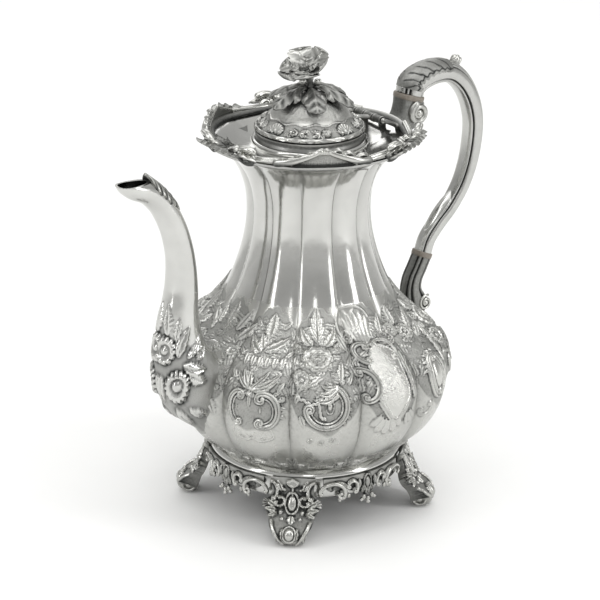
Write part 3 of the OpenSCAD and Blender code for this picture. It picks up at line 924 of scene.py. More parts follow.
class GeometryTree:
    """A Geometry Nodes tree with named number inputs, used once on a mesh and then made plain."""

    def __init__(self, name: str, inputs: dict[str, tuple[str, float]]) -> None:
        """Starts the tree.

        Args:
            name: the tree's name.
            inputs: socket type and value of each named input.
        """
        self.tree = bpy.data.node_groups.new(name, "GeometryNodeTree")
        face = self.tree.interface
        face.new_socket("Geometry", in_out="INPUT", socket_type="NodeSocketGeometry")
        self.sockets = {}
        for label, (kind, value) in inputs.items():
            self.sockets[label] = (face.new_socket(label, in_out="INPUT", socket_type=kind), value)
        face.new_socket("Geometry", in_out="OUTPUT", socket_type="NodeSocketGeometry")
        self.w = Wiring(self.tree)
        self.given = self.w.add("NodeGroupInput").outputs

    def end(self, geometry: bpy.types.NodeSocket, material: bpy.types.Material) -> None:
        """Ends the tree in smooth shading, Realize Instances and Set Material."""
        real = self.w.add("GeometryNodeRealizeInstances", Geometry=geometry)
        soft = self.w.add("GeometryNodeSetShadeSmooth", Geometry=real.outputs[0])
        coat = self.w.add("GeometryNodeSetMaterial", Material=material, Geometry=soft.outputs[0])
        self.w.join(coat.outputs[0], self.w.add("NodeGroupOutput").inputs[0])

    def plain(self, seed_mesh: bpy.types.Mesh, name: str) -> bpy.types.Object:
        """Runs the tree on a mesh and returns the result as an ordinary object.

        Args:
            seed_mesh: the points or edges that the tree works on.
            name: the finished object's name.

        Returns:
            An object with a plain mesh.
        """
        obj = bpy.data.objects.new(name, seed_mesh)
        bpy.context.scene.collection.objects.link(obj)
        modifier = obj.modifiers.new("tree", "NODES")
        modifier.node_group = self.tree
        for socket, value in self.sockets.values():
            modifier[socket.identifier] = value
        graph = bpy.context.evaluated_depsgraph_get()
        mesh = bpy.data.meshes.new_from_object(obj.evaluated_get(graph))
        obj.modifiers.remove(modifier)
        obj.data = mesh
        mesh.name = name
        return obj


def seed_points(points: Sequence[Point], sizes: Sequence[float]) -> bpy.types.Mesh:
    """Loose points in metres, each with a size."""
    mesh = bpy.data.meshes.new("seed points")
    mesh.from_pydata([tuple(np.asarray(p, float) * MM) for p in points], [], [])
    mesh.attributes.new("size", "FLOAT", "POINT").data.foreach_set("value", np.asarray(sizes, np.float32))
    return mesh


def seed_paths(paths: Sequence[Array]) -> bpy.types.Mesh:
    """Open chains of edges in metres."""
    points, edges, start = [], [], 0
    for path in paths:
        points += (path * MM).tolist()
        edges += [(start + i, start + i + 1) for i in range(len(path) - 1)]
        start += len(path)
    mesh = bpy.data.meshes.new("seed paths")
    mesh.from_pydata(points, edges, [])
    return mesh


def pearls(points: Sequence[Point], radii: Sequence[float], name: str,
           material: bpy.types.Material) -> bpy.types.Object:
    """Cast pearls at points, by Geometry Nodes.

    Args:
        points: their middles in mm.
        radii: their radii in mm.
        name: the piece's name.
        material: its finish.

    Returns:
        The piece, with a plain mesh.
    """
    tree = GeometryTree("pearls", {"Radius": ("NodeSocketFloat", MM), "Detail": ("NodeSocketInt", 3)})
    w = tree.w
    bead = w.add("GeometryNodeMeshIcoSphere", Radius=tree.given["Radius"], Subdivisions=tree.given["Detail"])
    size = w.add("GeometryNodeInputNamedAttribute", data_type="FLOAT", Name="size").outputs["Attribute"]
    on = w.add("GeometryNodeInstanceOnPoints", Points=tree.given["Geometry"], Instance=bead.outputs["Mesh"],
               Scale=size)
    tree.end(on.outputs["Instances"], material)
    return tree.plain(seed_points(points, radii), name)


def reeds(paths: Sequence[Array], radius: float, strands: int, name: str,
          material: bpy.types.Material) -> bpy.types.Object:
    """Bundles of reeds that follow paths, by Geometry Nodes.

    Args:
        paths: the lines that they follow, in mm.
        radius: radius of the bundle in mm.
        strands: reeds round each bundle.
        name: the piece's name.
        material: its finish.

    Returns:
        The piece, with a plain mesh.
    """
    sizes = {"Radius": radius * MM, "Strands": float(strands), "Relief": 0.22}
    tree = GeometryTree("reeds", {name: ("NodeSocketFloat", value) for name, value in sizes.items()})
    w, given = tree.w, tree.given
    line = w.add("GeometryNodeMeshToCurve", Mesh=given["Geometry"])
    ring = w.add("GeometryNodeCurvePrimitiveCircle", Resolution=48, Radius=given["Radius"])
    spot = w.add("GeometryNodeInputPosition").outputs[0]
    parts = w.add("ShaderNodeSeparateXYZ", Vector=spot)
    turn = w.math("ARCTAN2", parts.outputs["Y"], parts.outputs["X"])
    phase = w.math("MULTIPLY", w.math("MULTIPLY", turn, given["Strands"]), 0.5)
    wave = w.math("ABSOLUTE", w.math("COSINE", phase))
    grow = w.math("MULTIPLY", w.math("SUBTRACT", wave, 1.0), given["Relief"])
    shift = w.add("ShaderNodeVectorMath", operation="SCALE", Vector=spot, Scale=grow)
    moved = w.add("GeometryNodeSetPosition", Geometry=ring.outputs["Curve"], Offset=shift.outputs[0])
    tube = w.add("GeometryNodeCurveToMesh", Fill_Caps=True, Curve=line.outputs["Curve"],
                 Profile_Curve=moved.outputs["Geometry"])
    tree.end(tube.outputs["Mesh"], material)
    return tree.plain(seed_paths(paths), name)


def blade(shape: Shape, spine: Sequence[Point], width: float, side: Point, thick: float = 0.9,
          crown: float = 0.15, teeth: int = 6, veins: float = 0.35, cut: float = 0.25, blunt: float = 0.75,
          peak: float = 0.75, rows: int = 40, cols: int = 24) -> Shape:
    """Cast leaf or petal along a spine.

    Args:
        shape: the mesh that it joins.
        spine: points that its midrib passes through.
        width: its half width.
        side: direction across it.
        thick: its thickness at the midrib.
        crown: height of its arch, as a share of its half width; negative cups it.
        teeth: teeth along each side.
        veins: depth of its veins in mm.
        cut: depth of the teeth, as a share of its width.
        blunt: power of its outline; small is blunt.
        peak: power that sets its widest place; large is near its tip.
        rows: steps along it.
        cols: steps across it.

    Returns:
        The shape.
    """
    line = resampled(spline(spine, 12), rows)
    t = np.linspace(0, 1, rows + 1)[:, None]
    v = np.linspace(-1, 1, cols + 1)[None]
    along = unit(np.gradient(line, axis=0))
    across = np.broadcast_to(np.asarray(side, float), along.shape)
    across = unit(across - along * (across * along).sum(1, keepdims=True))
    up = np.cross(across, along)
    saw = (t * teeth + 0.3) % 1.0 if teeth else 0.5 + 0 * t
    outline = np.sin(pi * np.clip(t, 0.012, 0.988) ** peak) ** blunt
    w = np.maximum(width * np.maximum(outline, 0.03) * (1 - cut + cut * 1.6 * saw), 0.25)
    lift = crown * w * (1 - v**2)
    vein = veins * (bell(v * w / 0.6) + 0.6 * np.cos(TAU * (t * max(teeth, 1) - np.abs(v) * 0.8))
                    * (1 - v**2))
    vein *= smooth(t, 0, 0.1) * smooth(1 - t, 0, 0.1)
    body = 0.5 * thick * (1 - 0.7 * v**2) + 0 * t
    middle = line[:, None] + across[:, None] * (v * w)[..., None]
    front = middle + up[:, None] * (lift + body + vein)[..., None]
    back = middle + up[:, None] * (lift - body)[..., None]
    # Darker in the vein grooves, which is patina, plus painted shade at the leaf's root; its back gets
    # painted shade as well.
    dark = np.clip(0.12 - vein / max(veins, 0.01) * 0.6, 0, 1) + 0.35 * (1 - smooth(t, 0, 0.25))
    return shape.skin(front, back, 1, patina_and_shade=dark + 0 * v, back_patina_and_shade=0.6)


def saddle(shape: Shape, line: Array, high: Array, wide: Array, wrap: Array, swell: Array, dark: Array,
           across: Array) -> Shape:
    """Leaf that lies over a bar, wrapped round its top.

    Args:
        shape: the mesh that it joins.
        line: points along its middle, in the plane of the bar.
        high: depth of the bar's section at each point, as a column.
        wide: half width of the section at each point.
        wrap: half angle that the leaf covers at each point, in radians.
        swell: thickness of the leaf on each of its places.
        dark: its darkness.
        across: places across it, from -1 to 1, as a row.

    Returns:
        The shape.
    """
    along = unit(np.gradient(line, axis=0))
    up = np.stack([-along[:, 2], 0 * along[:, 0], along[:, 0]], -1)
    up *= np.sign(up[:, 2:].sum())
    grid = []
    for off in (swell, np.full_like(swell, -0.35)):
        drop = high * (np.cos(across * wrap) - 1) + off * np.cos(across * wrap) - 0.4
        side = (wide + off) * np.sin(across * wrap)
        grid.append(line[:, None] + up[:, None] * drop[..., None] + np.array([0, 1.0, 0]) * side[..., None])
    return shape.skin(grid[0], grid[1], 1, patina_and_shade=dark)


@dataclass(frozen=True)
class Tilt:
    """Leaning plane above the rim that a flat drawing is laid on.

    Attributes:
        foot: distance out and height where the drawing's up is 0.
        side: 1, or -1 to mirror it.
        lean: how far out and how far up a point goes for each mm up the drawing.
    """

    foot: Point
    side: int
    lean: Point

    def __call__(self, p: Array) -> Array:
        """Lays the drawing's points (across, up) on the plane."""
        out, high = (start + p[:, 1] * share for start, share in zip(self.foot, self.lean))
        return np.stack([out, self.side * p[:, 0], high], -1)


def ribbon_scroll(shape: Shape, at: Point, radii: Point, start: float, sweep: float, width: float,
                  lay: Callable[[Array], Array], curls: Point = (1, 1)) -> Shape:
    """Cast C-scroll laid on a surface.

    Args:
        shape: the mesh that it joins.
        at: centre of its arc in the plane.
        radii: the arc's radii.
        start: angle where the arc starts, in degrees.
        sweep: angle that the arc covers.
        width: half width of the scroll.
        lay: turns plane points into points in space.
        curls: size of the curl at each end.

    Returns:
        The shape.
    """
    path, widths = c_scroll(at, radii, start, sweep, width, curls)
    path, widths = path[::2], widths[::2]
    space = lay(path)
    shape.tube(space, widths, 10, up=tuple(unit(space.mean(0) * np.array([1, 1, 0.001]))))
    for end in (0, -1):
        shape.ball(space[end], (width * 0.8,) * 3, detail=7)
    return shape


# ---------------------------------------------------------------- body


@dataclass
class LobedBody:
    """Bowl and neck: a raised body of twelve lobes, chased round the bowl."""

    outline: tuple[Point, ...] = (
        (49.5, 37.5), (60, 44.5), (71, 54), (79, 67), (82.3, 82), (80, 95), (71.5, 106.5), (59, 117),
        (48.5, 130), (41.5, 146), (37, 162), (35.3, 176), (36, 189), (39.5, 201), (45, 210), (49.5, 214.5),
    )
    lobes: int = 12
    groove: float = 0.045
    wall: float = 1.3
    seam: float = 134.0
    fine: float = 0.385
    columns: int = 120
    foot_r: float = 60
    line: Array = field(init=False)
    arc: Array = field(init=False)

    def __post_init__(self) -> None:
        """Works out the meridian and the distance along it."""
        self.line = spline(self.outline, 24)
        self.arc = lengths(self.line)

    def across(self, angle: Array) -> Array:
        """How far across its lobe an angle in degrees lies, from -1 to 1."""
        half = 180 / self.lobes
        return ((angle + half) % (2 * half) - half) / half

    def girth(self, s: Values) -> Array:
        """Radius of the plain round body at a distance up the meridian."""
        return np.interp(s, self.arc, self.line[:, 0])

    def radius(self, angle: Array, s: Array) -> Array:
        """Outer radius at an angle in degrees and a distance up the meridian."""
        r = self.girth(s)
        part = self.across(angle)
        depth = self.groove * smooth(s, -6, 22) * (1 - 0.35 * smooth(s, 188, 208))
        return r * (1 - depth * part**2 - 0.25 * depth * np.abs(part) ** 9)

    def surface(self, angle: Array, s: Array, off: Values = 0.0) -> Array:
        """Points of the outer surface, moved off it by off mm.

        Args:
            angle: row angles in degrees, as a row.
            s: distances up the meridian, as a column.
            off: distance outwards from the surface.

        Returns:
            The grid of points.
        """
        rise = np.interp(s, self.arc, self.line[:, 1])
        run = np.gradient(self.line, self.arc, axis=0)
        nr, nz = np.interp(s, self.arc, run[:, 1]), -np.interp(s, self.arc, run[:, 0])
        r = self.radius(angle, s) + off * nr
        a = np.radians(angle)
        return wound(r, a, rise + off * nz)

    def chase(self, angle: Array, s: Array) -> Relief:
        """Chases every motif that falls on a patch.

        Args:
            angle: the patch's row angles.
            s: its distances up the meridian.

        Returns:
            The relief.
        """
        a, y = np.broadcast_arrays(angle, s)
        r = self.girth(y)
        relief = Relief(a * 0.0, y)
        part = self.across(a)
        top = 110 + 13 * (1 - np.abs(part) ** 1.6) + 0.8 * np.sin(part * 14)
        low = 68 - 20 * (1 - part**2) + 1.2 * np.sin(np.radians(a) * 31)
        relief.ground(smooth(y, low - 1.2, low + 1.2) * (1 - smooth(y, top - 0.8, top + 0.5)), 0.38)
        punched = np.random.default_rng(11).normal(0, 0.05, y.shape)
        relief.height += np.where(relief.matt > 0.5, punched,
                                  0.25 * punched * smooth(y, 30, 50) * (1 - smooth(y, 105, 118)))
        dapple = np.random.default_rng(29).normal(0, 1.0, y.shape)
        dapple = 0.5 * (blur(dapple, 3) + 0.5 * blur(dapple, 1))
        relief.height += dapple * smooth(y, 20, 66) * (1 - smooth(y, 104, 116))
        designs = (
            (180, 1, self.spout_lobe), (210, 1, self.twin_scroll_lobe), (150, -1, self.twin_scroll_lobe),
            (240, 1, self.blossom_lobe), (120, -1, self.blossom_lobe), (270, 1, self.cartouche_lobe),
            (90, -1, self.cartouche_lobe), (300, 1, self.oval_lobe), (60, -1, self.oval_lobe),
            (330, 1, self.blossom_lobe), (30, -1, self.blossom_lobe), (0, 1, self.handle_lobe),
        )
        for centre, hand, design in designs:
            turn = (a - centre + 180) % 360 - 180
            if np.abs(turn).min() > 24:
                continue
            relief.x = np.radians(np.clip(turn, -60, 60)) * r * hand
            self.undergrowth(relief)
            design(relief)
            self.foot_sprigs(relief)
            self.groove_sprays(relief)
        return relief

    def foot_sprigs(self, r: Relief) -> None:
        """Sprig of leaves and a bud at the foot of each groove beside a lobe."""
        edge = pi / self.lobes * self.foot_r
        for side in (-1, 1):
            x = side * edge
            r.leaves(
                ((x, 6), (x, 25), 3.0, 1.5, 5),
                ((x - side * 1.5, 6), (x - side * 8, 21), 3.0, 1.4, 4, side * 0.1),
                ((x - side * 4, 5), (x - side * 13, 13), 2.6, 1.2, 4),
            )
            r.ruffle((x - side * 4.4, 14), (2.6, 3.4), 6, 1.3)

    def undergrowth(self, r: Relief) -> None:
        """Faint overlapping leaves that fill the ground of a lobe behind its motifs."""
        for k in range(78):
            y = 66 + 48 * ((k * 0.4142) % 1)
            half = pi / self.lobes * float(self.girth(y))
            x = half * (2 * ((k * 0.618034) % 1) - 1)
            way = radians(90 + 75 * sin(k * 2.4))
            reach = 5.2 + 1.6 * sin(k * 1.7)
            tip = (x + reach * cos(way), y + reach * sin(way))
            r.leaf((x, y), tip, 1.9, 0.3 + 0.3 * sin(k * 3.1) ** 2, 3, 0.08 * cos(k))

    def groove_sprays(self, r: Relief) -> None:
        """Low tendrils and small leaves that fill the matted ground along the groove beside a lobe."""
        edge = 0.95 * pi / self.lobes
        for k, s in enumerate((70, 76, 82, 88, 94, 100, 106)):
            x = edge * float(self.girth(s))
            lean = 3.4 if k % 2 else -3.4
            r.leaf((x, s - 1), (x + lean, s + 5.5), 1.5, 0.35, 3, 0.1 if k % 2 else -0.1)
        rise = np.arange(66, 110)
        r.stroke(np.stack([edge * self.girth(rise) + 1.2 * np.sin(rise / 3.2), rise], -1), 0.4, 0.15)

    def fringe(self, r: Relief, at: Point, radii: Point, start: float, sweep: float, count: int,
               length: float) -> None:
        """Row of small leaves along the outside of a scroll."""
        for k in range(count):
            a = radians(start + sweep * (k + 0.5) / count)
            lean = a + radians(math.copysign(38, sweep))
            base = (at[0] + radii[0] * cos(a), at[1] + radii[1] * sin(a))
            tip = (base[0] + length * cos(lean), base[1] + length * sin(lean))
            r.leaf(base, tip, length * 0.3, 1.1, 2)

    def spout_lobe(self, r: Relief) -> None:
        """Leaves and small flowers that spread from the spout's foot."""
        for side in (-1, 1):
            r.leaves(
                ((side * 14, 62), (side * 17, 51), 3.2, 1.1, 5),
                ((side * 4, 50), (side * 10, 41), 2.8, 1.0, 5),
                ((side * 12, 98), (side * 19, 112), 3.6, 1.2, 6),
                ((side * 8, 104), (side * 11, 118), 3.2, 1.2, 6),
            )
            r.daisy((side * 15, 91), 4.0, 9, 1.0)
        r.leaf((0, 106), (0, 121), 3.6, 1.2, 6)
        r.daisy((0, 49), 5.5, 12, 1.3)

    def twin_scroll_lobe(self, r: Relief) -> None:
        """Two C-scrolls back to back under a flame of leaves, with a fern above."""
        r.leaves(
            ((0.7, 104.5), (0.8, 119.5), 5.2, 1.3, 8), ((0, 96), (13, 106), 4.0, 1.5, 4, -0.06),
            ((-1.5, 95), (-10, 105), 3.8, 1.5, 4, 0.08), ((-1, 97), (-4, 107), 2.8, 1.2, 4),
        )
        for k in range(6):
            r.leaf((-8.5 + 4.2 * k, 93), (-9 + 4.4 * k, 85.5), 2.3, 0.9, 3)
        for x, y, wide, bow in (
            (-11.2, 82.5, 1.9, 0.1), (-7.5, 85, 2.0, 0.06), (-3.4, 84, 1.9, 0.0),
            (14.5, 84.2, 2.4, -0.12), (13.5, 80.2, 2.2, -0.16), (7.5, 84.5, 1.9, -0.08),
        ):
            r.leaf((-1.8, 72.5), (x, y), wide, 1.7, 3, bow)
        for x, y, dx, dy in ((-12, 91, -4, 5), (13, 92, 4, 5), (-12, 77, -4, 6), (14, 72, 3, 6),
                             (-6, 110, -4, 5), (7, 110, 4, 5)):
            r.leaf((x, y), (x + dx, y + dy), 1.8, 0.9, 3)
        for at, radii, start, sweep, wide in (
            ((6.6, 61), (8.8, 9.8), 102, -205, 1.7),
            ((-8.0, 61.3), (6.0, 9.4), 75, 195, 1.5),
        ):
            r.scroll(at, radii, start, sweep, wide, 1.7, (1.1, 0.9), 0.6)
            r.scroll(at, (radii[0] - 2.6, radii[1] - 2.6), start, sweep, 0.5, 0.9, (0, 0), 0.0)
        self.fringe(r, (6.6, 61), (10, 11), 70, -90, 4, 4.2)
        r.boss((5.4, 61.5), (0.5, 1.7), 0.7)
        r.boss((-9, 62), (0.4, 1.4), 0.6)
        r.leaf((-1.6, 71), (-1.4, 62), 1.3, 1.0, 0)
        loop = spline(((-11, 50), (-12, 44), (-4, 41), (0, 43), (4, 41), (12, 44), (11, 50)), 14)
        r.stroke(loop, 0.55, 0.5)
        for x in (-6, 0, 6):
            r.daisy((x, 43.6), 1.5, 5, 0.7)

    def blossom_lobe(self, r: Relief) -> None:
        """Plume and open blossom over a large C-scroll."""
        r.leaves(
            ((-2.3, 103), (-1.6, 124), 5.0, 1.5, 4), ((-5.5, 101), (-11, 112), 4.0, 1.5, 3, 0.08),
            ((1.5, 101), (8, 111.5), 4.0, 1.5, 3, -0.08),
        )
        r.ruffle((-3.2, 93.1), (9.3, 8.4), 10, 1.5, 0.52)
        r.ruffle((-3.2, 92.8), (5.0, 4.2), 6, 1.7, 0.5)
        r.ruffle((-14, 98.5), (3.2, 3.4), 8, 1.3)
        r.ruffle((9, 99), (3.2, 3.4), 8, 1.3)
        r.ruffle((-13.5, 80), (5.4, 6.2), 11, 1.5, 0.6)
        r.leaf((8.2, 77.5), (10, 92), 2.8, 1.2, 5)
        for x, y, dx, dy in ((3, 84, 5, -3), (-8, 84, -3, -5), (-17, 88, 2, 6), (14, 86, 2, 7),
                             (13, 76, 3, 6), (-9, 77, 5, 3), (-16, 72, -2, -6)):
            r.leaf((x, y), (x + dx, y + dy), 1.9, 0.9, 3)
        r.scroll((-0.2, 65), (12.0, 12.2), 52, -222, 1.8, 1.8, (1.0, 0.7), 0.6)
        r.scroll((-0.2, 65), (9.2, 9.4), 40, -200, 0.6, 1.2, (0, 0), 0.0)
        self.fringe(r, (-0.2, 65), (13.2, 13.4), 20, -70, 4, 3.6)
        for wide, x, y, bow in ((2.6, -8.5, 70, 0.28), (2.4, -6.5, 74, 0.24), (2.2, -3, 77.5, 0.18)):
            r.leaf((7.0, 76.5), (x, y), wide, 1.8, 3, bow)
        ripple = spline(((-17, 70), (-12.5, 68.5), (-8.5, 66.5), (-5, 67.5), (-4, 63), (-3.4, 59.5),
                         (-1, 58.5)), 10)
        ripple[:, 1] += 0.5 * np.sin(np.arange(len(ripple)) * 0.9)
        r.stroke(ripple, 0.8, 1.2)
        r.boss((1.5, 65.6), (1.1, 2.1), 1.1, 1.2)
        for x, y in ((-3, 42.5), (3.2, 44.5), (-9, 44)):
            r.daisy((x, y), 1.7, 5, 0.8)
        r.leaf((-15, 60), (-12.5, 52), 2.0, 0.8, 4)

    def cartouche_lobe(self, r: Relief) -> None:
        """Polished cartouche framed by C-scrolls, under a ribbed fan."""
        r.fan((-6.4, 90), 90, 32, 21, 5, 0.45, 0.1)
        arch = ((-17.5, 104), (-17.8, 112), (-15.2, 119), (-9.5, 122.5), (-3, 122), (1.2, 118.5), (2.6, 115))
        r.stroke(spline(arch, 10), 0.9, 0.55)
        r.scroll((-14.6, 104.5), (3.0, 3.6), 60, 230, 0.9, 0.9, (1, 1))
        loop = ((-5.5, 95.5), (1, 97), (8.1, 90), (8.6, 78), (9.4, 65), (4.6, 58.5), (-1.0, 53),
                (-6.5, 59), (-10.6, 66), (-9.2, 76), (-11.4, 85))
        r.plate(loop, 0.9, 0.5)
        r.scroll((-9.8, 93.4), (5.8, 6.4), 62, 205, 1.5, 1.9, (1.0, 0.9), 0.6)
        r.scroll((-17.6, 74.2), (7.6, 9.2), 100, -200, 1.7, 1.9, (0.9, 0.9), 0.6)
        self.fringe(r, (-18.2, 74.2), (9.8, 9.8), 60, -110, 4, 2.6)
        r.scroll((1.4, 91.6), (8.4, 8.6), 118, -150, 1.3, 1.7, (0.7, 0.7), 0.6)
        for shift, high in ((0, 1.5), (2.4, 1.0)):
            r.stroke(spline(((10.5 + shift, 88), (11.6 + shift, 76), (14.2 + shift, 62)), 14), 1.1, high, 0.3)
        for x, y in ((14, 86), (15.5, 79), (17, 72)):
            r.leaf((11.5, y - 6), (x + 2, y), 2.0, 1.2, 3)
        for drop, high in ((0, 1.0), (2.2, 0.8)):
            r.stroke(spline(((-11.5, 66 - drop), (-6.5, 57.5 - drop), (-0.6, 51 - drop),
                             (4.8, 56.5 - drop), (10, 63.5 - drop)), 10), 0.8, high)
        r.fan((-5, 61), 262, 18.5, 48, 5, 1.2, 0.45)
        r.fan((7, 58), 292, 13, 30, 3, 0.9, 0.35)
        r.leaf((-19, 96), (-20, 108), 2.8, 1.1, 5)
        for x, y in ((-15, 103), (10, 104), (13, 97)):
            r.daisy((x, y), 3.2, 9, 1.2)
        r.leaf((6, 103), (11, 115), 3.0, 1.2, 5)

    def oval_lobe(self, r: Relief) -> None:
        """Pair of flowers and long leaves over an oval scroll."""
        r.ruffle((-6.2, 98.1), (5.4, 5.4), 9, 1.8, 0.5)
        r.ruffle((-14.9, 102), (4.6, 4.6), 8, 1.6, 0.5)
        r.leaves(
            ((-2, 98), (10.3, 110), 3.8, 1.6, 6), ((-1, 92), (12, 98), 3.4, 1.6, 5),
            ((-10, 104), (-7, 117), 3.6, 1.4, 6),
        )
        r.scroll((-3.2, 67), (8.0, 12.4), 98, 172, 1.8, 1.8, (0.9, 0.9), 0.6)
        r.scroll((-3.2, 67), (8.0, 12.4), 84, -150, 1.3, 1.4, (0.6, 0.9), 0.5)
        r.boss((-3.2, 67), (4.2, 8), 1.4, 1.2)
        self.fringe(r, (-3.2, 67), (9, 13.4), 60, 110, 5, 3.6)
        r.scroll((-15, 50), (4.6, 4.6), 200, 190, 1.3, 1.3, (1, 1))
        for k, y in enumerate((92, 86, 80, 74)):
            r.leaf((7 + k * 0.5, y - 4), (15 - k, y + 5), 3.0, 1.6, 5)

    def handle_lobe(self, r: Relief) -> None:
        """Leaves round the handle's lower socket over a scroll pair."""
        for side in (-1, 1):
            r.scroll((side * 7.6, 62), (6.8, 9.6), 90 - side * 12, side * -200, 1.7, 2.0, (1, 1))
            r.leaves(
                ((side * 2, 73), (side * 12, 83), 2.6, 1.6, 4, -side * 0.1),
                ((side * 6, 88), (side * 13, 102), 3.6, 1.4, 6),
            )
            r.daisy((side * 11, 86), 4.2, 9, 1.3)
        r.leaf((0, 72), (0, 86), 2.8, 1.4, 4)

    def patch(self, first: float, last: float, columns: int, s: Array, stride: int, wrap: bool) -> Shape:
        """Closed piece of the body between two angles and two heights.

        Args:
            first: row angle where it starts.
            last: row angle where it ends.
            columns: steps between them.
            s: distances up the meridian.
            stride: outer steps to one inner step.
            wrap: it runs right round.

        Returns:
            Its shape.
        """
        angle = np.linspace(first, last, columns + 1)[None]
        if wrap:
            angle = angle[:, :-1]
        s = s[:, None]
        relief = self.chase(angle, s)
        fade = smooth(s, s[0, 0] - 1, s[0, 0] + 0.3) if s[0, 0] < 1 else 1.0
        low = np.minimum(relief.height, 1.9)
        height = np.maximum(low * 0.95, blur(low, 3) * 0.55) * fade
        outline = np.clip((blur(low, 2) - low) / 0.75, 0, 1) * fade
        part = np.abs(self.across(angle))
        line = bell((1 - part) * 3) * 0.16 + bell((1 - part) * 18) * 0.14
        line = line * (0.35 + 0.65 * (1 - smooth(s, 60, 90)) + 0.4 * smooth(s, 120, 140))
        dark = np.clip(0.8 * outline + 0.3 * hollows(height, 4, 1.4) + line, 0, 1)
        dark *= 1 - 0.9 * relief.polish
        matt = relief.matt * (relief.height < 0.25) - 0.8 * relief.polish
        front = self.surface(angle, s, height)
        back = self.surface(angle[:, ::stride], s, -self.wall - 0.3)
        return Shape().skin(front, back, stride, wrap, patina_and_shade=dark, matt=matt)

    def build(self, shop: Workshop) -> None:
        """Builds the bowl in six panels of two lobes each, and the neck."""
        seam = float(np.interp(self.seam, self.line[:, 1], self.arc))
        rows = np.linspace(0, seam, int(seam / self.fine))
        sides = {"spout_near": 165, "front": 225, "handle_near": 285, "handle_far": 345, "rear": 45,
                 "spout_far": 105}
        for name, first in sides.items():
            shape = self.patch(first, first + 60, self.columns * 2, rows, 12, False)
            shop.finish(shape, f"bowl_{name}", Body.POT, Slot.CHASED, "bowl")
        low = np.linspace(seam, seam + 12, 24)
        high = np.linspace(seam + 13, self.arc[-1], 56)
        shape = self.patch(15, 375, 480, np.append(low, high), 8, True)
        shop.finish(shape, "neck_sheet", Body.POT, Slot.BURNISHED, "neck")


# ---------------------------------------------------------------- rim and mouth


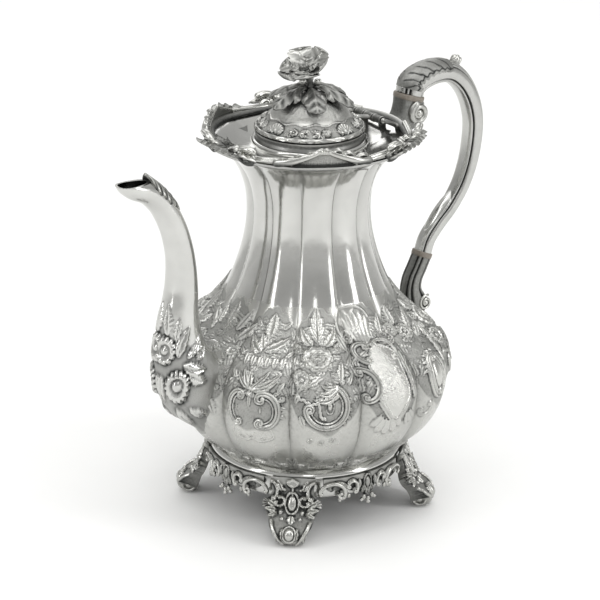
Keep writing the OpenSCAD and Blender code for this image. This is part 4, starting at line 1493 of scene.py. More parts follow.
@dataclass
class Mouth:
    """Dished plate, collar and cast border at the top of the neck."""

    plate_line: tuple[Point, ...] = ((29.8, 208), (34, 208.8), (39, 210.6), (44, 213.2), (49, 216.2),
                                     (54, 218.6), (59, 219.6))
    plate_thick: float = 1.2
    cluster_size: float = 1.3
    bend_r: float = 57.0
    border_reach: float = 59.0
    border_height: float = 220.8

    def border_line(self, angle: Array, lift: float = 0.0, inset: float = 0.0) -> Array:
        """Wavy line of the border at angles in degrees."""
        a = np.radians(angle)
        r = self.border_reach - 1.6 + 1.2 * np.cos(6 * a) - inset
        return wound(r, a, self.border_height + 0.8 * np.cos(6 * a + 1.2) + lift)

    def plate(self) -> Shape:
        """Dished plate inside the rim."""
        top = spline(self.plate_line, 5)
        low = top[::-1] - np.array([0, self.plate_thick])
        dark = np.append(0.25 * smooth(top[:, 0], 52, 58) + 0.3 * (1 - smooth(top[:, 0], 30, 33)),
                         np.full(len(low), 0.4))

        def fluted(a: Array, r: Array) -> Array:
            """Draws the plate in a little between the lobes."""
            return r * (1 - 0.012 * smooth(r, 33, 48) * np.abs(np.cos(6 * a)) ** 0.5)

        return Shape().revolve(np.vstack([top, low]), 288, dark, fluted)

    def collar(self) -> Shape:
        """Collar with a rolled moulding at its top and a bead at its foot."""
        points = [(28.4, 205.5), (29.8, 205.5), (29.8, 207.8), (31.6, 208.4), (32.4, 209.3), (31.6, 210.2),
                  (30.1, 210.8), (29.9, 214.6)]
        points += [(31.2 + 1.8 * cos(t), 217.6 + 1.8 * sin(t))
                   for t in np.radians(np.linspace(-110, 120, 13))]
        points += [(29.9, 220.2), (28.4, 220.2)]
        dark = [0.5, 0.6, 0.7, 0.3, 0, 0.3, 0.75, 0.1, *([0.7, 0.2] + [0.0] * 9 + [0.2, 0.6]), 0.4, 0.4]
        return Shape().revolve(np.array(points), 288, np.array(dark))

    def border(self) -> Shape:
        """Cast moulding that the scrolls of the border stand on."""
        points = np.array([(54.6, 218.8), (58.2, 219.5), (59.3, 220.3), (59.2, 221.2), (57.6, 222.2),
                           (55.8, 221.6), (54.4, 220.2)])

        def wavy(a: Array, r: Array) -> Array:
            """Waves the moulding in and out with the lobes."""
            return r + np.cos(6 * a) - 1.0

        return Shape().revolve(points, 432, np.array([0.8, 0.8, 0.3, 0.0, 0.1, 0.5, 0.8]), wavy)

    def cluster(self, angle: float, bloom: bool) -> Shape:
        """Shell, leaves and scrolls cast in one on the border.

        Args:
            angle: row angle of its middle.
            bloom: small flowers stand on it.

        Returns:
            Its shape.
        """
        shape = Shape()
        size, foot, z = self.cluster_size, 54.2, 221.2
        for k in range(-3, 4):
            spread = k * 3.0 * size
            reach = (8.6 - 0.55 * abs(k)) * size
            spine = [
                (foot, spread * 0.35, z - 0.3),
                (foot + reach * 0.35, spread * 0.75, z + 2.4 * size),
                (foot + reach * 0.75, spread * 1.15, z + 3.0 * size),
                (foot + reach, spread * 1.4, z + 1.4 * size),
            ]
            blade(shape, spine, 2.4 * size, (k * -0.2, 1, 0), 1.7, 0.5, 0, 0.25, blunt=0.5, rows=18, cols=10)
        for side in (-1, 1):
            lay = Tilt((57.0, z + 0.6), side, (0.55, 0.5))
            ribbon_scroll(shape, (8.5 * size, 2.4), (4.2 * size, 3.6), 20, 190, 1.5, lay, (1.1, 0.9))
            for reach, rise in ((21.0, 2.0), (14.5, 4.6)):
                spine = [(57.6, side * 6 * size, z), (59.6, side * reach * 0.6 * size, z + rise),
                         (58.2, side * reach * size, z + rise * 0.4)]
                blade(shape, spine, 2.8 * size, (1, 0, 0.4), 1.3, 0.4, 4, 0.35, rows=24, cols=10)
        if bloom:
            for y, x in ((-4.5, 55.5), (0, 54.4), (4.5, 55.5)):
                shape.ball((x, y, z + 3.6), (1.7, 1.7, 1.5), detail=8)
                shape.berries((x, y, z + 3.2), 1.5, 6, (1.1, 1.1, 0.7))
        turns = np.linspace(0, 2.7 * pi, 64)
        rho = 7.4 * (1 - 0.84 * turns / turns[-1])
        rise = rho * np.sin(turns + 0.9)
        for side in (-1, 1):
            x = side * (17.0 + rho * np.cos(turns + 0.9))
            for lift, share in ((0.0, 1.0), (1.5, 0.5)):
                path = self.around(58.4 + lift + 0.35 * rise, x, z + 0.6 + rise * 0.8 + lift * 0.3)
                shape.tube(path, np.linspace(2.1, 1.2, 64) * share, 12, up=(1, 0, 0))
            shape.ball(self.around(59.8, side * 17.0, z + 0.6), (2.2, 1.8, 1.8), patina_and_shade=0.1)
        return self.settled(shape, angle)

    def around(self, r: Values, along: Values, z: Values) -> Array:
        """Points at radii, distances along the rim from row angle 0, and heights."""
        return wound(r, np.asarray(along, float) / self.bend_r, z)

    def settled(self, shape: Shape, angle: float) -> Shape:
        """Turns a casting to its place on the rim and darkens its low parts."""
        points = shape.gathered()
        sunk = 1 - smooth(points[:, 2], self.border_height - 0.2, self.border_height + 2.4)
        shape.points = [turned(points, angle)]
        shape.patina_and_shade = [np.clip(shape.patina_and_shade[0] * 0.8 + 0.75 * sunk, 0, 1)]
        return shape

    def pediment(self, angle: float) -> Shape:
        """Peaked casting on the rim: two ridges meet at a shell over a matted panel.

        Args:
            angle: row angle of its middle.

        Returns:
            Its shape.
        """
        shape = Shape()
        z = self.border_height
        u = np.linspace(-1, 1, 121)[None]
        v = np.linspace(0, 1, 25)[:, None]
        peak = 1.6 + 6.2 * (1 - np.abs(u)) ** 0.9
        relief = Relief(17 * u + 0 * v, 6 * v + 0 * u)
        relief.height += np.random.default_rng(8).normal(0, 0.08, relief.height.shape)
        for k in range(-4, 5):
            relief.leaf((k * 3.4, 0.4), (k * 3.4 + 1.2, 3.6), 1.2, 0.5, 3)
        high = z - 0.6 + v * (peak + 0.9)
        out = 59.6 - 2.4 * v
        front = self.around(out + relief.height, 17 * u + 0 * v, high)
        back = self.around(out - 1.5, 17 * u + 0 * v, high - 0.3)
        shape.skin(front[:, ::-1], back[:, ::-1][:, ::6], 6,
                   patina_and_shade=0.08 + 0.7 * hollows(relief.height, 2, 0.6), matt=0.9)
        for side in (-1, 1):
            ridge = spline(((26, 0.4, 57.4), (18, 2.0, 58.4), (10.5, 4.4, 58.0), (5, 6.4, 57.4),
                            (1.2, 8.2, 57.0)), 10)
            shape.tube(self.around(ridge[:, 2], side * ridge[:, 0], z + ridge[:, 1]),
                       np.linspace(2.4, 1.5, len(ridge)), 14, up=(1, 0, 0))
            for x, rise, lean in ((22, 2.0, 5.5), (14, 4.2, 4.6), (8, 6.2, 3.6)):
                spine = [self.around(57.4, side * (x - lean), z + rise),
                         self.around(57.8, side * x, z + rise + 1.9),
                         self.around(57.2, side * (x + lean * 0.8), z + rise * 0.6 + 0.6)]
                blade(shape, spine, 1.9, (1, 0, 0.3), 1.2, 0.4, 3, 0.35, rows=20, cols=10)
        for k in range(-3, 4):
            spine = [self.around(56.4, k * 0.5, z + 5.6), self.around(57.8, k * 1.2, z + 7.8),
                     self.around(58.4, k * 1.9, z + 9.6 - 0.35 * k * k)]
            blade(shape, spine, 1.3, (0, 1, 0), 1.3, 0.5, 0, 0.2, blunt=0.5, rows=14, cols=8)
        return self.settled(shape, angle)

    def runs(self) -> list[Array]:
        """Lines of the reeded runs between the clusters."""
        lines = []
        for first, last in ((197, 224), (256, 282), (78, 104), (136, 163), (318, 340), (20, 42)):
            lines.append(self.border_line(np.linspace(first, last, 40), 0.9, 0.4))
        return lines

    def build(self, shop: Workshop) -> None:
        """Builds the plate, the collar, the border and its clusters."""
        shop.finish(self.plate(), "mouth_dish", Body.POT, Slot.BURNISHED, "mouth_plate")
        shop.finish(self.collar(), "mouth_collar", Body.POT, Slot.BURNISHED, "lid_collar")
        shop.finish(self.border(), "rim_moulding", Body.POT, Slot.CAST, "rim_border")
        castings = {
            "spout": self.cluster(180, False),
            "front": self.pediment(-120),
            "rear": self.pediment(120),
            "left": self.cluster(-60, True),
            "right": self.cluster(60, True),
        }
        for name, shape in castings.items():
            shop.finish(shape, f"rim_cluster_{name}", Body.POT, Slot.CAST, f"rim_shell_{name}")
        runs = reeds(self.runs(), 2.1, 5, "rim_reeds", shop.materials[Slot.CAST])
        place(runs, Body.POT, Slot.CAST)


# ---------------------------------------------------------------- foot


@dataclass
class Base:
    """Foot ring, four shield feet and four aprons."""

    ring: tuple[Point, ...] = (
        (50, 23), (54.2, 23), (54.6, 24.5), (53.4, 28), (53.2, 31), (54.2, 33.5), (55.3, 34.6),
        (55.3, 36), (54.4, 37.2), (53.2, 38.3), (51.6, 39.0), (45, 37.5), (45, 36.1), (50, 33.5),
    )
    outer: tuple[Point, ...] = ((57.0, 36), (58.6, 30), (60.4, 24), (63, 18.6), (66.6, 14.4), (70.4, 11.9),
                                (73.5, 8.6), (73.9, 5.2), (72.2, 1.8), (68.4, 0.05))
    inner: tuple[Point, ...] = ((54.8, 34), (54.6, 28), (55.4, 21.5), (57.6, 16.4), (60.4, 12.2),
                                (62.2, 8.4), (62.2, 5.4), (63.3, 2.2), (65.8, 0.5), (68.0, 0.05))
    halves: tuple[Point, ...] = ((0, 2.6), (1, 3.8), (2.4, 5.4), (4.4, 7.0), (8, 9.2), (12, 11.8),
                                 (15, 13), (19, 15.4), (22, 15.6), (25, 13.4), (28, 11.6), (32, 12.2),
                                 (36.4, 13))
    apron_r: float = 57.2
    apron_back_r: float = 55.3

    def foot(self, angle: float) -> Shape:
        """Shield-shaped cast foot on a scrolled toe.

        Args:
            angle: row angle of its middle.

        Returns:
            Its shape.
        """
        rows, cols = 150, 72
        o, i = (resampled(spline(edge, 16), rows) for edge in (self.outer, self.inner))
        u = np.linspace(-1, 1, cols + 1)[None]
        half = np.interp(o[:, 1], *np.array(self.halves).T)[:, None]
        s = lengths(o)[:, None]
        relief = Relief(np.abs(u * half), s + 0 * u)
        relief.ground(smooth(s, 3, 5) * (1 - smooth(s, 36, 39)) + 0 * u, 0.3)
        relief.plate(((0, 0.8), (3, 3), (0, 5.2), (-3, 3)), 0.9, 0.4)
        relief.stroke(spline(((0, 5.4), (0, 10)), 10), 0.5, 0.5)
        relief.boss((0, 14.6), (2.5, 4.2), 1.5, 1.2)
        relief.scroll((12.4, 8.0), (3.8, 5.6), 130, 190, 1.1, 1.6, (0.8, 1.0))
        relief.scroll((7.2, 13.5), (2.8, 2.8), 30, 230, 0.9, 1.5, (1, 1))
        relief.leaves(
            ((6, 8), (8.5, 1.5), 1.8, 1.2, 3), ((9, 16.5), (15.5, 12.5), 2.0, 1.6, 3),
            ((8.5, 18.5), (15.5, 17.5), 2.0, 1.6, 3), ((8, 20), (13.5, 22), 1.8, 1.4, 3),
            ((3.9, 37), (4.29, 29), 1.5, 1.3, 3), ((0, 21.4), (0, 27.4), 2.6, 1.2, 3),
        )
        for at, radii, high in (((4.6, 7), (0.9, 0.9), 0.9), ((6.2, 19.8), (1, 1.4), 0.9),
                                ((5.2, 23.5), (0.9, 1.2), 0.8)):
            relief.boss(at, radii, high)
        relief.stroke(np.hstack([0.88 * half, s])[70:140:2], 1.0, 1.2, 0.3)
        relief.boss((0, 33.4), (2.9, 3.6), 2.2, 0.6)
        relief.prick(5, 0.05)
        dark = np.clip(0.9 * hollows(relief.height, 4, 1.0) + 0.08 * (relief.height < 0.1), 0, 1)
        n2 = unit(np.stack([-np.gradient(o[:, 1]), np.gradient(o[:, 0])], -1))
        bulge = relief.height - 0.9 * np.abs(u) ** 4
        r = o[:, :1] + n2[:, :1] * bulge
        z = np.maximum(o[:, 1:] + n2[:, 1:] * bulge, 0.0)
        front = np.stack([r, half * u + 0 * r, z], -1)
        back = np.stack([i[:, :1] + 0 * u, half * 0.97 * u, i[:, 1:] + 0 * u], -1)
        shape = Shape().skin(front, back[:, ::6], 6, patina_and_shade=dark,
                             matt=relief.matt * (relief.height < 0.15), back_patina_and_shade=0.45)
        turns = np.linspace(0.3, 3.4 * pi, 60)
        shape.volutes((68, 7.6, 5.7), turns, 5.0, 0.78, 1.2, 0.75, 8, (1.7, 1.1, 1.7), 0.2, 0.1)
        for side in (-1, 1):
            for k in range(4):
                a = radians(205 - 38 * k)
                out, rise = abs(cos(a)), sin(a)
                spine = [(59.5, side * 12.5, 21.5), (60.5, side * (13.5 + 1.4 * out), 21.5 + 1.8 * rise),
                         (60.8, side * (15.4 + 1.5 * out), 21.2 + 3.4 * rise)]
                blade(shape, spine, 1.2, (1, 0, 0), 1.0, 0.3, 0, 0.15, rows=12, cols=8)
        shape.points = [turned(shape.gathered(), angle)]
        return shape

    def bent(self, angle: float, off: float = 0.0) -> Callable[[Array], Array]:
        """Lays a flat drawing (across, up) on the apron's curve at a row angle."""

        def lay(p: Array) -> Array:
            """Bends the points."""
            a = np.radians(angle) + p[:, 0] / self.apron_r
            return wound(self.apron_r + off, a, p[:, 1])

        return lay

    def apron(self, angle: float) -> Shape:
        """Cast apron of scrolls, scales and hanging leaves between two feet.

        Args:
            angle: row angle of its middle.

        Returns:
            Its shape.
        """
        rows, cols = 34, 240
        x = np.linspace(-27.5, 27.5, cols + 1)[None]
        v = np.linspace(0, 1, rows + 1)[:, None]
        scallops = 2.6 * np.abs(np.sin(pi * x / 6.9)) ** 0.6
        edge = 28.4 - scallops - 5.4 * bell(x / 4.4) + 2.6 * smooth(np.abs(x), 21, 27.5)
        y = 34.6 + (edge - 34.6) * v
        relief = Relief(np.abs(x + 0 * v), y)
        relief.ground(smooth(y, 31.8, 31.2), 0.3)
        relief.scroll((19.4, 27.6), (5.6, 4.4), 20, 200, 1.0, 1.5, (0.6, 1.2))
        relief.scroll((10.4, 29), (2.9, 3.6), 10, 220, 0.9, 1.4, (1, 1))
        relief.boss((5.6, 29.4), (1.3, 2.8), 1.4)
        for k in range(9):
            relief.boss((13 + 1.7 * k, 31.0 - 0.06 * (k - 4) ** 2), (0.8, 0.8), 0.8)
        for k in range(3):
            relief.leaf((14 + 2.4 * k, 26.5), (14 + 3.0 * k, 22.5), 1.5, 1.1, 3)
        relief.leaf((2, 28), (4.2, 22.6), 1.5, 1.2, 3)
        relief.boss((0, 29.2), (1.7, 3.2), 1.6, 0.9)
        relief.leaf((0, 26.8), (0, 20.6), 2.2, 1.3, 4)
        dark = np.clip(hollows(relief.height, 3, 0.6) + 0.3 * (relief.height < 0.1), 0, 1)
        a = np.radians(angle) + x / self.apron_r
        front = wound(self.apron_r - 0.4 + relief.height, a, y)
        back = wound(self.apron_back_r, a[:, ::4], y[:, ::4])
        shape = Shape().skin(front[:, ::-1], back[:, ::-1], 4, patina_and_shade=dark[:, ::-1],
                             matt=relief.matt[:, ::-1], back_patina_and_shade=0.75)
        lay = self.bent(angle, 0.4)
        for side in (-1, 1):
            ribbon_scroll(shape, (side * 22.4, 25.4), (7.6, 6.4), 90 - side * 84, side * 190, 1.25, lay,
                          (0.4, 1.1))
            ribbon_scroll(shape, (side * 10.2, 27.6), (3.4, 4.2), 90 - side * 70, side * 200, 0.95, lay,
                          (1, 0.9))
            for x_at, z_at in ((15.6, 23.0), (18.2, 21.9), (12.8, 23.6)):
                shape.ball(lay(np.array([[side * x_at, z_at]]))[0], (1.2, 1.2, 1.7), patina_and_shade=0.1, detail=7)
        for x_at in (-2.9, 0, 2.9):
            shape.ball(lay(np.array([[x_at, 20.6 - (0 if x_at else 1.6)]]))[0], (1.3, 1.3, 1.9),
                       patina_and_shade=0.1, detail=8)
        return shape

    def build(self, shop: Workshop) -> None:
        """Builds the ring, the feet, the aprons and their pearls."""
        ring = np.array(self.ring)
        dark = np.array([0.5, 0.3, 0.2, 0.1, 0.1, 0.1, 0.0, 0.0, 0.0, 0.0, 0.1, 0.2, 0.6, 0.6])
        shop.finish(Shape().revolve(ring, 288, dark), "foot_moulding", Body.POT, Slot.BURNISHED, "foot_ring")
        pearl_at = []
        for k in range(4):
            shop.finish(self.foot(45 + 90 * k), f"shield_foot_{k + 1}", Body.POT, Slot.CAST, f"foot_{k + 1}")
            shop.finish(self.apron(90 * k), f"scroll_apron_{k + 1}", Body.POT, Slot.CAST, f"apron_{k + 1}")
            drops = np.array([(-4.6, 19.4), (0, 17.4), (4.6, 19.4)])
            pearl_at += list(self.bent(90 * k, 0.6)(drops))
        drops = pearls(pearl_at, [1.15, 1.35, 1.15] * 4, "apron_pearls", shop.materials[Slot.CAST])
        place(drops, Body.POT, Slot.CAST)


# ---------------------------------------------------------------- spout


@dataclass
class Spout:
    """Cast swan-neck spout with flowers at its foot and a leaf at its mouth."""

    stations: tuple[Point, ...] = (
        (64, 85, 29, 13), (80.4, 92.4, 22.5, 16.4), (87.4, 106, 17, 15.3), (89.8, 120, 12.7, 12.5),
        (89.8, 135, 10.3, 10.8), (88.5, 150, 8.8, 9.5), (89, 165, 7.9, 8.6), (91.6, 178, 7.5, 8),
        (96.2, 190, 7.2, 7.6), (102.6, 200.5, 7, 7.3), (110.5, 208, 6.8, 7.2), (119.4, 211.8, 6.2, 7.0),
        (124.4, 214.3, 5.0, 6.4), (127.4, 217.2, 3.8, 5.0), (130, 221.5, 3, 3.6),
    )
    wall: float = 1.3
    cut: float = 214.6
    leaf_line: tuple[Point, ...] = ((90.2, 193.6), (93.2, 199.6), (97.2, 205.2), (101.8, 210.2),
                                    (107, 214.6), (112.4, 218.9))

    def rings(self, steps: int, sides: int, shrink: float) -> Array:
        """Rings of points along the spout; 0 degrees is its outer side, 90 its near side.

        Args:
            steps: rings between one station and the next.
            sides: points in a ring.
            shrink: how much smaller than the outside the rings are, in mm.

        Returns:
            The grid of points.
        """
        line = spline(self.stations, steps)
        mid = np.stack([-line[:, 0], 0 * line[:, 0], line[:, 1]], -1)
        along = unit(np.gradient(mid, axis=0))
        out = np.stack([-along[:, 2], 0 * along[:, 0], along[:, 0]], -1)
        c, s = squared(sides, 0.92)
        over = c * np.maximum(line[:, 2:3] - shrink, 0.4)
        side = s * np.maximum(line[:, 3:4] - shrink, 0.4)
        return mid[:, None] + out[:, None] * over[..., None] + np.array([0, -1.0, 0]) * side[..., None]

    def foot_relief(self, points: Array) -> Relief:
        """Chases flowers and leaves round the spout's foot.

        Args:
            points: the spout's outer grid.

        Returns:
            The relief; both sides carry the same flowers.
        """
        step = np.linalg.norm(np.diff(points, axis=0), axis=-1).mean(1)
        y = np.append(0, np.cumsum(step))[:, None]
        ring = np.linalg.norm(points - np.roll(points, 1, axis=1), axis=-1)
        x = np.cumsum(ring, axis=1) - ring[:, :1]
        whole = ring.sum(1, keepdims=True)
        x = (x + whole / 2) % whole - whole / 2
        relief = Relief(np.abs(x), y + 0 * x)
        high = 62 - 0.55 * np.abs(x) - 3 * np.abs(np.sin(x / 5))
        relief.ground((1 - smooth(y, high - 1, high + 1))
                      * (1 - smooth(np.abs(x), 0.36 * whole, 0.42 * whole)), 0.38)
        relief.leaves(
            ((4.6, 56), (2.6, 73), 3.6, 1.2, 6), ((12.5, 45), (17, 61), 3.6, 1.5, 6, 0.06),
            ((18, 44), (26, 55), 3.0, 1.5, 4, -0.1), ((10, 54), (10.5, 66), 2.4, 1.1, 5),
        )
        relief.daisy((3.9, 48.5), 7.4, 13, 1.9, 0.36)
        relief.daisy((12.0, 31.5), 7.8, 16, 2.1, 0.42)
        relief.boss((12.0, 31.5), (2.8, 2.8), 1.5)
        relief.leaves(
            ((16, 41), (32, 33), 3.4, 1.6, 8, -0.06), ((19, 36), (31, 26), 3.2, 1.5, 7, -0.04),
        )
        relief.ruffle((27, 44), (3.2, 4.0), 8, 1.3)
        relief.leaves(
            ((8, 22), (6, 12), 3.0, 1.2, 5), ((14, 20), (18, 10), 2.8, 1.1, 5),
            ((1.5, 37), (1.0, 24), 2.6, 1.1, 5),
        )
        return relief

    def tube(self) -> Shape:
        """Hollow tube of the spout, chased at its foot."""
        steps, sides = 20, 156
        outer = self.rings(steps, sides, 0.0)
        relief = self.foot_relief(outer)
        base = unit(outer - outer.mean(1, keepdims=True))
        flare = 1 - smooth(np.arange(len(outer))[:, None], 0, 4)
        height = relief.height * (1 - flare)
        dark = hollows(height, 2, 1.1)
        front = outer + base * height[..., None]
        back = self.rings(steps, sides // 6, self.wall)
        # Painted shade inside the spout: its inner wall is dark deep down and clears towards the mouth.
        inside = 0.95 * (1 - smooth(-outer[..., 0].mean(1)[:, None], 113, 124))
        matt = relief.matt * (relief.height < 0.25)
        return Shape().skin(front, back, 6, wrap=True, patina_and_shade=dark, matt=matt, back_patina_and_shade=inside)

    def open_mouth(self, obj: bpy.types.Object) -> None:
        """Cuts the mouth open at its level and closes the rim of the cut."""
        bm = bmesh.new()
        bm.from_mesh(obj.data)
        everything = bm.verts[:] + bm.edges[:] + bm.faces[:]
        cut = bmesh.ops.bisect_plane(
            bm, geom=everything, dist=1e-7, plane_co=(0, 0, self.cut * MM), plane_no=(0, 0, 1),
            clear_outer=True
        )
        rim = [e for e in cut["geom_cut"] if isinstance(e, bmesh.types.BMEdge)]
        bmesh.ops.triangle_fill(bm, edges=rim, use_beauty=True)
        bmesh.ops.recalc_face_normals(bm, faces=bm.faces)
        bm.to_mesh(obj.data)
        bm.free()

    def hood(self) -> Shape:
        """Ribbed leaf that ends in a point over the mouth's back."""
        line = np.array([(-r, 0, z) for r, z in spline(self.leaf_line, 14)])
        t = np.linspace(0, 1, len(line))[:, None]
        v = np.linspace(-1, 1, 41)[None]
        notch = 0.5 - 0.5 * np.cos(TAU * t * 7)
        cover = ((0, 0.12, 0.35, 0.72, 0.88, 1), (0.12, 0.7, 1.15, 1.2, 0.75, 0.06))
        wrap = np.interp(t, *cover) * (0.92 + 0.12 * notch)
        rib = np.cos(TAU * (t * 7 + np.abs(v) * 1.1))
        rib = 0.42 * np.maximum(rib, -0.6) * smooth(np.abs(v), 0.06, 0.2) + 0.5 * bell(v / 0.08)
        shape = Shape()
        dark = np.clip(0.35 - rib * 1.4, 0, 0.9)
        return saddle(shape, line, 7.2 + 0 * t, 7.2 + 0 * t, wrap, 0.8 + rib, dark, v)

    def build(self, shop: Workshop) -> None:
        """Builds the tube and the leaf."""
        obj = self.tube().build("spout_tube", shop.materials[Slot.BURNISHED])
        self.open_mouth(obj)
        place(obj, Body.POT, Slot.BURNISHED, "spout")
        shop.finish(self.hood(), "spout_hood", Body.POT, Slot.CAST, "spout_leaf")


# ---------------------------------------------------------------- handle


@dataclass
class Handle:
    """Scroll handle with its sockets, insulators, leaf cap and bud."""

    stations: tuple[Point, ...] = (
        (71.9, 231.6, 8, 7.3), (73.6, 236.2, 8.2, 7.3), (79, 239.6, 8, 7.1), (85.5, 241.2, 7.6, 6.8),
        (93, 241.4, 7, 6.5), (101, 239.5, 6.4, 6.3), (108.5, 234.2, 6.1, 6.2), (114.7, 226, 5.9, 6.2),
        (119, 216, 5.8, 6.2), (120.8, 205, 5.6, 6.1), (119.8, 192, 5.5, 6), (117, 180, 5.3, 5.8),
        (112, 168.5, 5.1, 5.5), (104, 157.5, 5, 5.2), (95, 148.8, 5, 5), (88.2, 141, 5, 5),
        (85.1, 133.5, 5, 5),
    )
    sides: int = 112
    upper: tuple[Point, ...] = (
        (79.4, 228.6), (80, 221), (78, 215.4), (72, 211.6), (64, 210.6), (55, 207.6), (46, 204), (43.4, 208),
        (52, 213), (60, 220), (62.6, 226), (63.2, 231.4),
    )
    lower_out: tuple[Point, ...] = ((89.3, 130), (85.6, 122.6), (82.8, 117.4), (82.4, 112.4), (85, 108.4),
                                    (87.6, 104.6), (87.4, 100), (83.6, 95.6), (77, 93))
    lower_in: tuple[Point, ...] = ((79.6, 133.2), (76.2, 126.6), (72.8, 120.4), (71, 114), (70.6, 108.4),
                                   (70.4, 104.4), (70, 100), (70, 96), (71, 93))

    @staticmethod
    def turn_from(a: Array, degrees: float) -> Array:
        """Angles counted from a place on the section, from -pi to pi."""
        return (a - radians(degrees) + pi) % TAU - pi

    def grip(self) -> Shape:
        """Moulded bar of the handle, with the tongue inside its lower bend."""
        line = spline(self.stations, 14)
        mid = np.stack([line[:, 0], 0 * line[:, 0], line[:, 1]], -1)
        along = unit(np.gradient(mid, axis=0))
        over = np.stack([along[:, 2], 0 * along[:, 0], -along[:, 0]], -1)
        a = np.arange(self.sides) / self.sides * TAU
        grooves = sum(bell(self.turn_from(a, at) / 0.1) for at in (57, 123, 237, 303, 148, 212))
        bead = sum(bell(self.turn_from(a, at) / 0.3) for at in (90, 270, 180))
        scale = 0.96 - 0.2 * grooves + 0.08 * bead
        c, s = squared(self.sides, 0.75)
        x = c * line[:, 2:3] * scale
        y = s * line[:, 3:4] * scale
        rings = mid[:, None] + over[:, None] * x[..., None] + np.array([0, 1.0, 0]) * y[..., None]
        shape = Shape().loft(rings, np.clip(0.16 + grooves * 0.84 + 0 * x, 0, 1))
        tongue = [(108.5, 0, 166.5), (101.6, 0, 161.0), (95.0, 0, 154.6), (89.6, 0, 148.6), (86.2, 0, 145.4)]
        blade(shape, tongue, 4.0, (0, 1, 0), 2.2, 0.45, 0, 0.2, blunt=0.5, rows=36, cols=14)
        return shape

    def insulator(self, at: Point, lean: float, radii: Point) -> Shape:
        """Slice of ivory with eased edges.

        Args:
            at: its middle (radius, height).
            lean: its lean in degrees.
            radii: its two half sizes.

        Returns:
            Its shape.
        """
        c, s = squared(72, 0.75)
        t = radians(lean)
        flat = np.array([cos(t), 0, -sin(t)])
        up = np.array([sin(t), 0, cos(t)])
        rings = []
        for off, grow in ((-1.6, 0.94), (-1.3, 0.99), (-0.6, 1.0), (0.6, 1.0), (1.3, 0.99), (1.6, 0.94)):
            across = (c * radii[0] * grow)[:, None] * flat
            across = across + (s * radii[1] * grow)[:, None] * np.array([0, 1.0, 0])
            rings.append(np.array([at[0], 0, at[1]]) + off * up + across)
        return Shape().loft(np.array(rings))

    def plate_between(self, outer: Array, inner: Array, half: float, reed: float) -> Shape:
        """Bracket between an outer and an inner line, reeded round its edge.

        Args:
            outer: points (radius, height) of its outer edge.
            inner: the same number of points of its inner edge.
            half: its half width.
            reed: depth of the reeding.

        Returns:
            Its shape.
        """
        c, s = squared(64, 0.6)
        mid, arm = (outer + inner) / 2, (outer - inner) / 2
        ribs = 1 - reed * (0.5 - 0.5 * np.cos(np.arange(64) * pi / 4)) ** 3
        x = c * ribs
        y = s * half * ribs
        flat = mid[:, None] + arm[:, None] * x[None, :, None]
        rings = np.stack([flat[..., 0], y + 0 * flat[..., 0], flat[..., 1]], -1)
        return Shape().loft(rings, np.clip(0.5 + (1 - ribs) / max(reed, 0.01) * 0.5, 0, 1) + 0 * flat[..., 0])

    def upper_socket(self) -> Shape:
        """Leafy bracket on the rim with a volute at each side."""
        edge = spline(self.upper, 8)
        outer = edge[: len(edge) // 2]
        inner = edge[::-1][: len(outer)]
        shape = self.plate_between(outer, inner, 6.8, 0.0)
        turns, thick = np.linspace(0, 3.6 * pi, 70), np.linspace(2.0, 1.0, 70)
        shape.volutes((73.6, 7.2, 221.6), turns, 6.2, 0.8, 1.9, thick, 10, (2.0, 1.4, 2.0), 0.4, 0.15)
        blade(shape, [(79, 0, 228), (80.4, 0, 221), (77.6, 0, 214), (70, 0, 210.2)], 5.6, (0, 1, 0), 1.6,
              0.3, 5, 0.4)
        return shape

    def lower_socket(self) -> Shape:
        """Reeded scroll bracket on the shoulder with a volute at its foot."""
        shape = self.plate_between(spline(self.lower_out, 6), spline(self.lower_in, 6), 5.1, 0.2)
        turns = np.linspace(0, 3.2 * pi, 60)
        shape.volutes((84.2, 5.0, 103.0), turns, 4.6, 0.78, 1.2, 0.85, 8, (1.6, 1.0, 1.6), 0.3)
        return shape

    def cap(self) -> Shape:
        """Acanthus leaf over the top of the handle, with a beaded edge."""
        spine = [(64.8, 0, 236.8), (66.6, 0, 241.6), (70.6, 0, 245.2), (77, 0, 247.9), (85, 0, 249.3),
                 (93, 0, 248.9), (100, 0, 246.8)]
        line = spline(spine, 14)[1:]
        t = np.linspace(0, 1, len(line))[:, None]
        v = np.linspace(-1, 1, 65)[None]
        scallop = 0.5 - 0.5 * np.cos(TAU * (t * 9))
        wrap = radians(98) * (0.94 + 0.1 * scallop) * (1 - 0.2 * t)
        phase = (t * 6 - np.abs(v) * 1.6) % 1.0 - 0.5
        barb = bell(phase / 0.1) * smooth(np.abs(v), 0.06, 0.2) * (1 - smooth(np.abs(v), 0.78, 0.84))
        ribs = 0.05 * phase - 0.16 * barb + 0.3 * smooth(np.abs(v), 0.86, 0.92) + 0.2 * bell(v / 0.07)
        dark = np.clip(0.42 + 0.45 * barb + 0.6 * bell((np.abs(v) - 0.84) / 0.035), 0, 0.95)
        return saddle(Shape(), line, 8.2 - 1.6 * t, 7.9 - 1.2 * t, wrap, 0.75 + ribs, dark, v)

    def bud(self) -> Shape:
        """Half-open bud that the thumb rests on."""
        turn = Matrix.Rotation(radians(35), 3, "Y")
        shape = Shape()
        shape.ball((105.4, 0, 244.6), (3.2, 3.2, 3.4), patina_and_shade=0.35)
        for k in range(6):
            a = k * TAU / 6
            off = turn @ Vector((1.9 * cos(a), 1.9 * sin(a), 1.3))
            shape.ball((105.6 + off.x, off.y, 245 + off.z), (1.5, 1.7, 2.4),
                       turn @ Matrix.Rotation(a, 3, "Z"), 0.0, 8)
        tip = turn @ Vector((0, 0, 3.2))
        shape.ball((105.6 + tip.x, 0, 245 + tip.z), (1.3, 1.3, 1.1), detail=7)
        return shape

